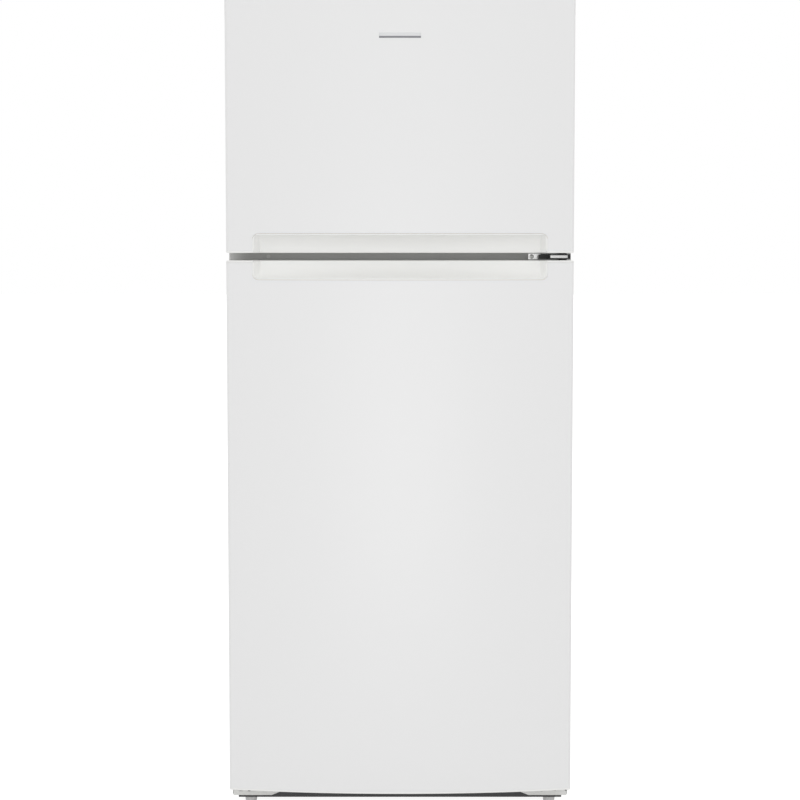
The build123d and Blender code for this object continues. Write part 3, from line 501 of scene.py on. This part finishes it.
def stage_surface():
    """Matt grey acrylic floor lit from below, brighter to the camera, so that it stays white."""
    material, tree, shader = start_material("stage_acrylic_matt", "A0A0A0", 0.9)
    shader.inputs["Emission Color"].default_value = linear("FFFFFF")
    path = add(tree, "ShaderNodeLightPath")
    lighting, shown = 0.4, 0.84    # emission for the other rays and for the camera
    glow = spread(tree, path.outputs["Is Camera Ray"], lighting, shown)
    tree.links.new(glow.outputs["Result"], shader.inputs["Emission Strength"])
    return material


def make_materials(look):
    """Every finish, keyed by the record's material slot."""
    MATERIALS.update({
        "door_enamel": door_enamel(look),
        "cabinet_enamel": cabinet_enamel(),
        "bracket_enamel": bracket_enamel(),
        "dark_enamel": dark_enamel(),
        "galvanised_steel": galvanised_steel(),
        "plated_steel": plated_steel(),
        "grip_plastic": grip_plastic(look),
        "liner_plastic": liner_plastic(),
        "clear_plastic": clear_plastic(),
        "lens_plastic": lens_plastic(),
        "shelf_glass": shelf_glass(),
        "gasket_vinyl": gasket_vinyl(),
        "foam": insulating_foam(),
        "fibre_board": fibre_board(),
        "badge_plate": badge_plate(),
        "coil_aluminium": coil_aluminium(),
        "grey_plastic": moulded_plastic("foot_nylon_moulded_grey", "C6C6C5", 0.55, 0.8, 0.03),
        "black_plastic": moulded_plastic("black_polypropylene_moulded", "1B1B1C", 0.45),
        "white_plastic": moulded_plastic("white_abs_moulded", "E6E6E4", 0.35, 0.6, 0.01),
        "compressor_enamel": spray_enamel("compressor_enamel_sprayed", "161617", 0.35),
        "coil_enamel": spray_enamel("condenser_enamel_dipped", "1A1A1B", 0.5),
        "coated_wire": spray_enamel("wire_coating_nylon_dipped", "ECECEA", 0.3),
    })


# ------------------------------------------------------------------ door pieces
GRIP = {
    "freezer": {"end": size_of("freezer_door_grip_cap")[0][2], "inward": 1},
    "fridge": {"end": size_of("fridge_door_grip_cap")[1][2], "inward": -1},
}


def skin_columns(half, corner):
    """X values across the door front, close together at the grip's rounded corners and the door edges."""
    edge = DOOR_HALF - CORNER_R * (1 - np.sin(np.linspace(0, math.pi / 2, 9)))
    flat = np.concatenate([[half], np.linspace(half + EDGE_ROW, DOOR_HALF - CORNER_R, 7)[:-1]])
    bend = half - corner + corner * np.sin(np.linspace(0, math.pi / 2, 10))[:-1]
    middle = np.linspace(0, half - corner, 30)[:-1]
    right = np.concatenate([middle, bend, flat, edge])
    return np.concatenate([-right[:0:-1], right])


def door_skin(name, body, look):
    """Painted steel wrapper. Columns run round the door's plan: rear return, side, crowned arc, side,
    return. Rows run up it. Inside the grip the lower rows are left out and the row above them follows
    a quarter circle, so the sheet has the grip's outline."""
    low, high = size_of(f"{name}_door_skin")
    end, inward = GRIP[name]["end"], GRIP[name]["inward"]
    half = look.grip_half + GRIP_RIM
    depth = look.grip_height + GRIP_RIM
    corner = look.grip_corner + GRIP_RIM
    x = skin_columns(half, corner)
    y = crown(x)
    turn = np.linspace(0, math.pi / 2, 5)
    wall_y = np.linspace(y[-1], DOOR_BACK - REAR_R, 6)[1:]
    side = np.stack([np.full(5, DOOR_HALF), wall_y], axis=-1)
    bend = np.stack([DOOR_HALF - REAR_R * (1 - np.cos(turn)),
                     DOOR_BACK - REAR_R * (1 - np.sin(turn))], axis=-1)
    rear_return = 12 * MM
    back = np.array([[DOOR_HALF - rear_return, DOOR_BACK]])
    right = np.concatenate([side, bend[1:], back])
    left = right[::-1] * np.array([-1, 1])
    plan = np.concatenate([left, np.stack([x, y], axis=-1), right])
    plan = plan * np.array([SKIN_HALF / DOOR_HALF, 1])
    front = np.concatenate([np.zeros(len(left), bool), np.abs(x) < half - 1e-6, np.zeros(len(right), bool)])
    arch = np.where(front, notch_edge(plan[:, 0], half, depth, corner), depth - corner)
    near = low[2] if inward > 0 else high[2]
    far = high[2] if inward > 0 else low[2]
    step = end + inward * (depth - corner)
    lower = np.append(near, np.linspace(near + inward * EDGE_ROW, step, 5)[:-1])[:, None] * np.ones(len(plan))
    start = end + inward * arch
    second, last = start + inward * EDGE_ROW, far - inward * EDGE_ROW
    share = np.linspace(0, 1, 40)[:, None]
    between = second[None] * (1 - share) + last * share
    upper = np.concatenate([start[None], between, np.full((1, len(plan)), far)])
    z = np.concatenate([lower, upper])
    rows, columns = z.shape
    points = np.concatenate([np.broadcast_to(plan[None], (rows, columns, 2)), z[..., None]], axis=-1)
    quads = grid_faces(rows, columns)
    row, column = quads[:, 0] // columns, quads[:, 0] % columns
    inside = front[column] | front[(column + 1) % columns]
    quads = quads[~((row < len(lower)) & inside)]
    if inward < 0:
        quads = quads[:, ::-1]
    kept, index = np.unique(quads, return_inverse=True)
    mesh = make_mesh(f"{name}_door_front", points.reshape(-1, 3)[kept], index.reshape(-1, 4))
    piece = place(f"{name}_door_front", mesh, body, "door_enamel", [f"{name}_door_skin"])
    return solidify(piece, 0.9 * MM)


FACET = 11 * MM           # width of the slope at each side of a grip
FACET_REACH = 14 * MM     # how far in from the grip's sides the mesh columns lie close together


def notch_edge(x, half, depth, corner):
    """Height of the grip's outline at x: level in the middle, a quarter circle at each end."""
    over = np.clip(np.abs(x) - (half - corner), 0, corner)
    return depth - corner + np.sqrt(np.maximum(corner ** 2 - over ** 2, 0))


def scoop_depth(x, rise, look):
    """How far the grip lies behind the crown. Upwards it is a flattened ellipse, deepest at the door's
    end; sideways it is a straight facet. What each lacks of its full depth is combined like two sides
    of a right angle, which rounds the corners between them."""
    sideways = np.clip((look.grip_half - np.abs(x)) / FACET, 0, 1)
    climb = np.clip(rise / look.grip_height, 0, 1)
    upwards = (1 - climb ** look.grip_curve) ** (1 / 2.2)
    fall = 1 - np.clip(np.sqrt((1 - sideways) ** 2 + (1 - upwards) ** 2), 0, 1)
    return (look.grip_floor - crown(x)) * fall


def door_grip(name, body, look):
    """Scooped grip moulding: a sheet whose rows run across the door and climb from its end to the rounded
    outline, set back from the crown by scoop_depth and flush with it along the rim."""
    end, inward = GRIP[name]["end"], GRIP[name]["inward"]
    seam = 0.4 * MM
    half, height = look.grip_half + GRIP_RIM - seam, look.grip_height + GRIP_RIM - seam
    inner = look.grip_half - FACET_REACH
    right = np.concatenate([np.linspace(0, inner, 40)[:-1], np.linspace(inner, half, 52)])
    x = np.concatenate([-right[:0:-1], right])
    share = np.concatenate([np.linspace(0.015, 0.6, 16)[:-1], 0.6 + 0.4 * np.linspace(0, 1, 44)])
    rise = share[:, None] * notch_edge(x, half, height, look.grip_corner + GRIP_RIM)[None]
    grid_x = np.broadcast_to(x[None], rise.shape)
    y = crown(grid_x) + scoop_depth(grid_x, rise, look)
    points = np.stack([grid_x, y, end + inward * rise], axis=-1)
    quads = grid_faces(*rise.shape)
    if inward < 0:
        quads = quads[:, ::-1]
    mesh = make_mesh(f"{name}_door_grip", points, quads)
    piece = place(f"{name}_door_grip", mesh, body, "grip_plastic",
                  [f"{name}_door_grip_cap"])
    solidify(piece, 1.6 * MM)
    end_plate(f"{name}_door_grip_plate", body, end, inward, look)


def end_plate(name, body, end, inward, look):
    """Plate that closes the grip end of a door. At each x its section is a rectangle, rounded on the
    outer face, from the front line to the door's back. The front line follows the crown and the scoop;
    towards the door's sides the outer face lifts along a quarter circle."""
    thickness, rounding, corner = 4 * MM, 1.4 * MM, 3.5 * MM
    wall = np.linspace(look.grip_half - FACET_REACH, look.grip_half + 1 * MM, 24)
    edge = DOOR_HALF - CORNER_R * (1 - np.sin(np.linspace(0, math.pi / 2, 14)))
    right = np.concatenate([np.linspace(0, wall[0], 30)[:-1], wall,
                            np.linspace(wall[-1], edge[0], 8)[1:-1], edge])
    x = np.concatenate([-right[:0:-1], right])
    inside = np.abs(x) < look.grip_half
    clear = 0.8 * MM    # the plate's front line lies this far behind the scoop's face
    front = crown(x) + np.where(inside, scoop_depth(x, np.zeros_like(x), look) + clear, 0)
    turn = np.linspace(0, math.pi / 2, 6)
    inset = np.append(rounding * (1 - np.sin(turn)), 0)
    level = np.append(rounding * (1 - np.cos(turn)), thickness)
    rear = DOOR_BACK - np.broadcast_to(inset[::-1], (len(x), len(inset)))
    y = np.concatenate([front[:, None] + inset, rear], axis=1)
    over = np.clip(np.abs(x) - (DOOR_HALF - corner), 0, corner)
    lift = corner - np.sqrt(corner ** 2 - over ** 2)
    rise = np.maximum(np.concatenate([level, level[::-1]])[None], lift[:, None])
    points = np.stack([np.broadcast_to(x[:, None], y.shape), y, end + inward * rise], axis=-1)
    around = 2 * len(inset)
    rung = np.arange(len(inset) - 1)
    first = np.stack([rung, around - 1 - rung, around - 2 - rung, rung + 1], axis=-1)
    last = first[:, ::-1] + (len(x) - 1) * around
    quads = np.concatenate([grid_faces(len(x), around, wrap_columns=True), first, last])
    if inward > 0:
        quads = quads[:, ::-1]
    mesh = make_mesh(name, points, quads)
    place(name, mesh, body, "grip_plastic", smooth=False)


# Half of the seal's outline in mm, as distance from its middle and depth: foot, folds, magnet pocket.
GASKET_HALF = ((8.0, 0.0), (8.0, 1.2), (3.6, 1.7), (3.2, 2.3), (5.6, 3.1), (5.6, 3.6),
               (3.4, 4.3), (3.4, 4.8), (6.6, 5.3), (7.6, 6.0), (7.7, 8.6), (7.0, 9.3))
GASKET_SECTION = np.array([*GASKET_HALF, (0.0, 9.5), *((-x, y) for x, y in GASKET_HALF[::-1])]) * MM


def door_gasket(name, body):
    """Bellows seal: its section, with a foot, folds and a magnet pocket, carried round a rectangle
    with mitred corners."""
    low, high = size_of(f"{name}_door_gasket")
    centre_x, centre_z = (low[0] + high[0]) / 2, (low[2] + high[2]) / 2
    foot = GASKET_SECTION[0, 0]
    half_x, half_z = (high[0] - low[0]) / 2 - foot, (high[2] - low[2]) / 2 - foot
    share = np.linspace(-1, 1, 41)[:-1]
    one = np.ones_like(share)
    along_x = np.concatenate([share, one, -share, -one])
    along_z = np.concatenate([-one, share, one, -share])
    out, deep = GASKET_SECTION[:, 0], GASKET_SECTION[:, 1]
    x = centre_x + along_x[:, None] * (half_x + out[None])
    z = centre_z + along_z[:, None] * (half_z + out[None])
    y = np.broadcast_to(low[1] + deep[None], x.shape)
    points = np.stack([x, y, z], axis=-1)
    quads = grid_faces(len(along_x), len(out), wrap_rows=True, wrap_columns=True)
    mesh = make_mesh(f"{name}_door_seal", points, quads[:, ::-1])
    place(f"{name}_door_seal", mesh, body, "gasket_vinyl", [f"{name}_door_gasket"])


def cap_wings():
    """Tabs of the freezer door's top end that reach down over the sheet: a strip whose columns go round
    the door's front corner from the crown to its side."""
    top = size_of("freezer_door_end_cap")[1][2] - 4 * MM
    tall, wrap, thickness = 31 * MM, 14 * MM, 0.6 * MM
    across = DOOR_HALF - CORNER_R * (1 - np.sin(np.linspace(1.1, math.pi / 2, 10)))
    front = crown(across)
    down = np.linspace(front[-1], front[-1] + wrap, 5)[1:]
    side = np.stack([np.full(len(down), DOOR_HALF), down], axis=-1)
    path = np.concatenate([np.stack([across, front], axis=-1), side])
    rise = np.linspace(top - tall, top, 5)
    shape = (len(rise), len(path))
    quads = grid_faces(*shape)
    height = np.broadcast_to(rise[:, None], shape)
    parts = []
    for hand, faces in ((-1, quads[:, ::-1]), (1, quads)):
        x, y = np.broadcast_to(hand * path[:, 0], shape), np.broadcast_to(path[:, 1], shape)
        parts.append((np.stack([x, y, height], axis=-1), faces, []))
    mesh = make_mesh("freezer_door_cap_wings", *gather(parts))
    piece = place("freezer_door_cap_wings", mesh, "freezer_door", "grip_plastic")
    solidify(piece, thickness)


def blank_badge():
    """Plain bar on the freezer door: a rounded rectangle over x and z, domed a little towards the front
    and following the crown."""
    low, high = size_of("badge")
    half, mid = (high[0] - low[0]) / 2, (high[2] + low[2]) / 2
    tall = (high[2] - low[2]) / 2
    across = np.sin(np.linspace(-math.pi / 2, math.pi / 2, 41))
    up = np.sin(np.linspace(-math.pi / 2, math.pi / 2, 17))
    grid_x, grid_z = np.meshgrid(across * half, up * tall)
    rounding, proud = 1.2 * MM, 0.8 * MM
    edge = np.minimum(half - np.abs(grid_x), tall - np.abs(grid_z)) / rounding
    raise_by = proud * np.sqrt(1 - (1 - np.clip(edge, 0, 1)) ** 2)
    points = np.stack([grid_x, crown(grid_x) - raise_by, mid + grid_z], axis=-1)
    mesh = make_mesh("name_plate_blank", points, grid_faces(*grid_x.shape))
    piece = place("name_plate_blank", mesh, "freezer_door", "badge_plate", ["badge"])
    solidify(piece, 0.4 * MM)


# ------------------------------------------------------------------ small hardware
def cross_head(centre, axis, radius, height, steps=40, rings=14):
    """Pan head screw as a height over a disc: a dome with a cross recess, and a straight skirt below."""
    angle = np.linspace(0, 2 * math.pi, steps, endpoint=False)
    share = np.concatenate([np.linspace(0.06, 0.9, rings), [0.97, 1.0, 1.0]])
    r, a = np.meshgrid(share * radius, angle, indexing="ij")
    dome = height * np.sqrt(np.clip(1 - (0.72 * r / radius) ** 2.6, 0, 1))
    u, v = r * np.cos(a), r * np.sin(a)
    slot = np.minimum(np.abs(u), np.abs(v)) / (0.13 * radius)
    reach = np.maximum(np.abs(u), np.abs(v)) / (0.55 * radius)
    sink = smooth_step(1.6 - slot) * smooth_step((1.25 - reach) * 3)
    lift = dome - 0.55 * height * sink
    lift[-1] = 0
    points = np.stack([u, v, lift], axis=-1).reshape(-1, 3)
    points = np.concatenate([points, [[0, 0, 0.45 * height], [0, 0, 0]]])
    around, following = np.arange(steps), (np.arange(steps) + 1) % steps
    last = len(share) * steps
    caps = np.concatenate([
        np.stack([np.full(steps, last), around, following], axis=-1),
        np.stack([np.full(steps, last + 1), last - steps + following, last - steps + around], axis=-1)])
    quads = grid_faces(len(share), steps, wrap_columns=True)[:, ::-1]
    return points @ TURNS[axis].T + np.asarray(centre), quads, caps


BRACKET_SCREWS = ((-333, 38.2), (-297, 39.4), (296, 38.2))    # x and z in mm, on the leg brackets
HINGE_SCREW = (269, 1147.5)                                    # x and z in mm, on the centre hinge
TOP_SCREWS = ((300, -240), (332, -222))                        # x and y in mm, on the top hinge
HINGE_PLATE = 2.5 * MM


def cabinet_hardware():
    """Detailed screw heads in place of the plain group."""
    front = size_of("leg_bracket_left")[0][1]
    hinge_front = size_of("mullion_rail")[0][1] - HINGE_PLATE
    top = size_of("top_hinge")[1][2]
    parts = [cross_head((x * MM, front, z * MM), "-y", 4.6 * MM, 3 * MM) for x, z in BRACKET_SCREWS]
    x, z = HINGE_SCREW
    parts.append(cross_head((x * MM, hinge_front, z * MM), "-y", 4.2 * MM, 2.4 * MM))
    parts += [cross_head((x * MM, y * MM, top), "z", 5 * MM, 3 * MM) for x, y in TOP_SCREWS]
    mesh = make_mesh("cross_head_screws", *gather(parts))
    place("cross_head_screws", mesh, "cabinet", "plated_steel", ["cabinet_screws"])


def rear_screws():
    """Two rows of screws that hold the rear cover."""
    low, high = size_of("rear_cover")
    from_side, from_edge = 14 * MM, 9 * MM
    parts = []
    for x in np.linspace(low[0] + from_side, high[0] - from_side, 6):
        for z in (high[2] - from_edge, low[2] + from_edge):
            parts.append(cross_head((x, high[1], z), "y", 4.4 * MM, 2.2 * MM))
    mesh = make_mesh("rear_cover_screws", *gather(parts))
    place("rear_cover_screws", mesh, "cabinet", "plated_steel")


def levelling_feet():
    """Fluted nylon feet on threaded stems: a profile turned about the leg's axis, the foot's radius
    rippled by twelve flutes and the stem's by a thread."""
    foot = [(0, 0), (8.4, 0), (9.6, 0.5), (10.3, 1.4), (10.6, 3), (11.3, 8), (11.9, 13), (12.4, 18),
            (12.5, 19.4), (12.1, 20), (8.2, 20), (7.6, 20.4), (7.5, 24.6), (7.1, 25), (4.1, 25)]
    stem = [(4.0 + 0.35 * (-1) ** k, 25.4 + 0.5 * k) for k in range(50)]
    profile = np.array(foot + stem + [(3.2, 51.4), (2.6, 52), (0, 52)]) * MM
    for word, body in (("left", "leg_left"), ("right", "leg_right")):
        low, high = size_of(f"levelling_leg_{word}")
        centre = ((low[0] + high[0]) / 2, (low[1] + high[1]) / 2, low[2])

        def flutes(angle, height):
            foot_end, head_end, run_out = 2 * MM, 18 * MM, 3 * MM
            inside = smooth_step((height - foot_end) / run_out) * smooth_step((head_end - height) / run_out)
            return 1 - 0.035 * inside * (0.5 - 0.5 * np.cos(12 * angle)) ** 2

        mesh = make_mesh(f"levelling_foot_{word}", *lathe(profile, centre, "z", 96, flutes))
        place(f"levelling_foot_{word}", mesh, body, "grey_plastic",
              [f"levelling_leg_{word}"])


def rollers():
    """Rear rollers: a tyre with a rounded tread, dished faces and a hub round the axle."""
    for word, body in (("left", "wheel_left"), ("right", "wheel_right")):
        low, high = size_of(f"roller_{word}")
        centre = (low + high) / 2
        face, r = (low[0] - high[0]) / 2 / MM, (high[2] - low[2]) / 2 / MM
        half = [(4.05, face), (8, face), (8.6, face + 2.5), (14.6, face + 2.8), (15.4, face + 0.6),
                (r - 1.8, face), (r - 0.6, face + 0.8), (r, face + 2.2)]
        profile = np.array(half + [(a, -b) for a, b in half[::-1]]) * MM
        steps = 64
        angle = np.linspace(0, 2 * math.pi, steps, endpoint=False)
        ring = np.stack([np.broadcast_to(profile[:, 1:], (len(profile), steps)),
                         profile[:, :1] * np.cos(angle), profile[:, :1] * np.sin(angle)], axis=-1)
        quads = grid_faces(len(profile), steps, wrap_rows=True, wrap_columns=True)
        mesh = make_mesh(f"rear_roller_{word}", ring.reshape(-1, 3) + centre, quads[:, ::-1])
        place(f"rear_roller_{word}", mesh, body, "black_plastic", [f"roller_{word}"])


# ------------------------------------------------------------------ back
def pressed_back():
    """Galvanised back with pressed beads: a sheet over x and z that stands out along three pairs of
    upright beads, each a smooth ridge."""
    low, high = size_of("back_panel")
    x = np.linspace(low[0], high[0], 241)
    z = np.linspace(low[2], high[2], 361)
    grid_x, grid_z = np.meshgrid(x, z)
    pitch, half_pair, half_bead, run_out = 200 * MM, 55 * MM, 9 * MM, 30 * MM
    bottom, top, height = low[2] + 120 * MM, high[2] - 150 * MM, 5 * MM
    inside = smooth_step((grid_z - bottom) / run_out) * smooth_step((top - grid_z) / run_out)
    ridge = np.zeros_like(grid_x)
    for centre in (-pitch, 0, pitch):
        across = smooth_step(1 - np.abs(np.abs(grid_x - centre) - half_pair) / half_bead)
        ridge = np.maximum(ridge, across * inside)
    y = high[1] + height * ridge
    points = np.stack([grid_x, y, grid_z], axis=-1)
    mesh = make_mesh("pressed_back_panel", points, grid_faces(*grid_x.shape)[:, ::-1])
    piece = place("pressed_back_panel", mesh, "cabinet", "galvanised_steel", ["back_panel"])
    solidify(piece, 0.8 * MM)


# Points in mm on the suction and discharge lines, from the compressor's shoulders to their far ends.
LINE_ROUTES = (
    ((-180, 150, 122), (-180, 142, 122), (-150, 138, 128), (-50, 138, 140), (30, 146, 150), (46, 160, 176),
     (50, 160, 176)),
    ((-140, 150, 112), (-140, 140, 112), (-200, 136, 130), (-270, 150, 170), (-290, 200, 210),
     (-290, 240, 258)),
)


def refrigerant_lines():
    """Enamelled steel lines between the compressor, the condenser and the cabinet: a round section
    carried along points joined by smooth steps."""
    lines = []
    for route in LINE_ROUTES:
        knots = np.array(route) * MM
        t = np.linspace(0, len(knots) - 1, 60)
        k = np.clip(t.astype(int), 0, len(knots) - 2)
        f = smooth_step(t - k)[:, None]
        lines.append(tube(knots[k] * (1 - f) + knots[k + 1] * f, 2.6 * MM, 12))
    mesh = make_mesh("refrigerant_lines", *gather(lines))
    place("refrigerant_lines", mesh, "cabinet", "coil_enamel")


# ------------------------------------------------------------------ finishes on the CAD nodes
def finish_nodes():
    """Gives every CAD node the material of its record slot."""
    for name, piece in NODES.items():
        piece.data.materials.clear()
        piece.data.materials.append(MATERIALS[SLOT_OF[name]])


# ------------------------------------------------------------------ stage
def build_world(look):
    """White surround whose strength follows the direction: rising from the horizon to overhead, and
    brighter at the sides. The camera itself sees plain white."""
    world = bpy.data.worlds.new("studio_white")
    world.use_nodes = True
    tree = world.node_tree
    sky = tree.nodes["Background"]
    sky.inputs["Color"].default_value = (1, 1, 1, 1)
    direction = add(tree, "ShaderNodeTexCoord").outputs["Generated"]
    heading = add(tree, "ShaderNodeSeparateXYZ", {"Vector": direction})
    height = spread(tree, heading.outputs["Z"], look.surround, look.surround * look.overhead, (0.1, 0.8))
    sideways = add(tree, "ShaderNodeMath", {0: heading.outputs["X"], 1: heading.outputs["X"]},
                   operation="MULTIPLY")
    flanks = spread(tree, sideways.outputs["Value"], 1.0, look.flanks)
    level = add(tree, "ShaderNodeMath", {0: height.outputs["Result"], 1: flanks.outputs["Result"]},
                operation="MULTIPLY")
    path = add(tree, "ShaderNodeLightPath")
    shown = add(tree, "ShaderNodeMix", {0: path.outputs["Is Camera Ray"], 2: level.outputs["Value"]},
                {3: 1.0})
    tree.links.new(shown.outputs["Result"], sky.inputs["Strength"])
    bpy.context.scene.world = world


def build_floor():
    """Flat floor, a grid of large squares."""
    steps = np.linspace(-40.0, 40.0, 9)
    grid_x, grid_y = np.meshgrid(steps, steps)
    points = np.stack([grid_x, grid_y, np.zeros_like(grid_x)], axis=-1)
    mesh = make_mesh("stage_floor", points, grid_faces(*grid_x.shape))
    floor = bpy.data.objects.new("stage_floor", mesh)
    bpy.context.scene.collection.objects.link(floor)
    mesh.materials.append(stage_surface())


def build_lamps(look):
    """Two softboxes before the doors, the lower one stronger, and one overhead. Each row gives the place,
    the aim, the size and the power."""
    lower_share = 0.8
    lamps = (
        ("lower", (0, -2.8, 0.5), (0, 0, 0.5), (0.8, 1.0), look.key_light * lower_share),
        ("upper", (0, -2.8, 1.6), (0, 0, 1.2), (0.8, 1.2), look.key_light * (1 - lower_share)),
        ("top", (0, -1.6, 3.6), (0, -0.2, 1.0), (2.4, 1.6), look.top_light),
    )
    for name, spot, target, size, power in lamps:
        data = bpy.data.lights.new(f"{name}_softbox", "AREA")
        data.shape = "RECTANGLE"
        data.size, data.size_y = size
        data.energy = power
        lamp = bpy.data.objects.new(f"{name}_softbox", data)
        lamp.location = spot
        lamp.rotation_mode = "QUATERNION"
        lamp.rotation_quaternion = (Vector(target) - Vector(spot)).to_track_quat("-Z", "Y")
        bpy.context.scene.collection.objects.link(lamp)


def build_camera(look):
    """Camera before the middle of the doors, tilted down a little."""
    scene = bpy.context.scene
    data = bpy.data.cameras.new("front_camera")
    data.lens = look.lens
    data.sensor_width = 36
    data.clip_end = 100
    camera = bpy.data.objects.new("front_camera", data)
    camera.location = (0, CROWN_FRONT + CROWN_SAG - look.distance, look.eye_height)
    camera.rotation_euler = (math.radians(90) - look.pitch, 0, 0)
    scene.collection.objects.link(camera)
    scene.camera = camera
    scene.view_settings.view_transform = "Standard"


# ------------------------------------------------------------------ add-on classes
class RefrigeratorLook(bpy.types.PropertyGroup):
    """Sizes and colours a user would change."""

    door_colour: FloatVectorProperty(name="Door colour", description="Paint of both doors", subtype="COLOR",
                                     size=3, min=0, max=1, default=linear("ECECEC")[:3])
    door_roughness: FloatProperty(name="Door roughness", description="Gloss of the door paint", default=0.36,
                                  min=0.05, max=1)
    grip_colour: FloatVectorProperty(name="Grip colour", description="Plastic of the grips and door ends",
                                     subtype="COLOR", size=3, min=0, max=1, default=linear("F2F2F0")[:3])
    grip_half: FloatProperty(name="Grip half width", description="Half the width of each grip recess",
                             default=0.294, subtype="DISTANCE", unit="LENGTH")
    grip_height: FloatProperty(name="Grip height", description="Height of each grip recess on the door front",
                               default=0.036, subtype="DISTANCE", unit="LENGTH")
    grip_corner: FloatProperty(name="Grip corner", description="Radius of the recess corners", default=0.010,
                               subtype="DISTANCE", unit="LENGTH")
    grip_floor: FloatProperty(name="Grip floor", description="Y of the deepest line of the recess",
                              default=-0.321, subtype="DISTANCE", unit="LENGTH")
    grip_curve: FloatProperty(name="Grip curve", description="Fullness of the recess, higher is squarer",
                              default=2.6, min=1)


class RefrigeratorStage(bpy.types.PropertyGroup):
    """Camera and light settings."""

    lens: FloatProperty(name="Lens", description="Focal length in millimetres", default=89.2)
    distance: FloatProperty(name="Distance", description="From the door edges to the camera", default=4.0,
                            subtype="DISTANCE", unit="LENGTH")
    eye_height: FloatProperty(name="Eye height", description="Camera height over the floor", default=1.1776,
                              subtype="DISTANCE", unit="LENGTH")
    pitch: FloatProperty(name="Pitch", description="Downward tilt of the camera", default=math.radians(4.566),
                         subtype="ANGLE", unit="ROTATION")
    surround: FloatProperty(name="Surround", description="Strength of the white surround", default=0.79)
    overhead: FloatProperty(name="Overhead", description="Brightness overhead against the horizon",
                            default=1.0)
    flanks: FloatProperty(name="Flanks", description="Brightness at the sides against the front",
                          default=1.25)
    key_light: FloatProperty(name="Key light", description="Power of the front softboxes in watts",
                             default=8.0)
    top_light: FloatProperty(name="Top light", description="Power of the overhead softbox in watts",
                             default=8.0)


class REFRIGERATOR_OT_finishes(bpy.types.Operator):
    """Make the materials and put them on the CAD pieces."""

    bl_idname = "refrigerator.finishes"
    bl_label = "Finishes"

    def execute(self, context):
        make_materials(context.scene.refrigerator_look)
        finish_nodes()
        return {"FINISHED"}


class REFRIGERATOR_OT_doors(bpy.types.Operator):
    """Build the door fronts, grips, seals and the blank name plate."""

    bl_idname = "refrigerator.doors"
    bl_label = "Doors"

    def execute(self, context):
        look = context.scene.refrigerator_look
        for name in ("freezer", "fridge"):
            body = f"{name}_door"
            door_skin(name, body, look)
            door_grip(name, body, look)
            door_gasket(name, body)
        cap_wings()
        blank_badge()
        return {"FINISHED"}


class REFRIGERATOR_OT_hardware(bpy.types.Operator):
    """Build the screws, levelling feet and rear rollers."""

    bl_idname = "refrigerator.hardware"
    bl_label = "Hardware"

    def execute(self, context):
        cabinet_hardware()
        rear_screws()
        levelling_feet()
        rollers()
        return {"FINISHED"}


class REFRIGERATOR_OT_back(bpy.types.Operator):
    """Build the pressed back panel and the refrigerant lines."""

    bl_idname = "refrigerator.back"
    bl_label = "Back"

    def execute(self, context):
        pressed_back()
        refrigerant_lines()
        return {"FINISHED"}


class REFRIGERATOR_OT_stage(bpy.types.Operator):
    """Build the floor, the lights and the camera."""

    bl_idname = "refrigerator.stage"
    bl_label = "Stage"

    def execute(self, context):
        stage = context.scene.refrigerator_stage
        build_world(stage)
        build_floor()
        build_lamps(stage)
        build_camera(stage)
        return {"FINISHED"}


STEPS = (REFRIGERATOR_OT_finishes, REFRIGERATOR_OT_doors, REFRIGERATOR_OT_hardware, REFRIGERATOR_OT_back,
         REFRIGERATOR_OT_stage)


class REFRIGERATOR_PT_panel(bpy.types.Panel):
    """Lists the settings and the building steps."""

    bl_idname = "REFRIGERATOR_PT_panel"
    bl_label = "Refrigerator"
    bl_space_type = "VIEW_3D"
    bl_region_type = "UI"
    bl_category = "Refrigerator"

    def draw(self, context):
        for group in (context.scene.refrigerator_look, context.scene.refrigerator_stage):
            for name in group.bl_rna.properties.keys():
                if name not in {"rna_type", "name"}:
                    self.layout.prop(group, name)
        for step in STEPS:
            self.layout.operator(step.bl_idname)


CLASSES = (RefrigeratorLook, RefrigeratorStage, *STEPS, REFRIGERATOR_PT_panel)


def register():
    for cls in CLASSES:
        bpy.utils.register_class(cls)
    bpy.types.Scene.refrigerator_look = PointerProperty(type=RefrigeratorLook)
    bpy.types.Scene.refrigerator_stage = PointerProperty(type=RefrigeratorStage)


def unregister():
    del bpy.types.Scene.refrigerator_look
    del bpy.types.Scene.refrigerator_stage
    for cls in reversed(CLASSES):
        bpy.utils.unregister_class(cls)


def main():
    register()
    bpy.ops.refrigerator.finishes()
    bpy.ops.refrigerator.doors()
    bpy.ops.refrigerator.hardware()
    bpy.ops.refrigerator.back()
    bpy.ops.refrigerator.stage()


if __name__ == "__main__":
    main()
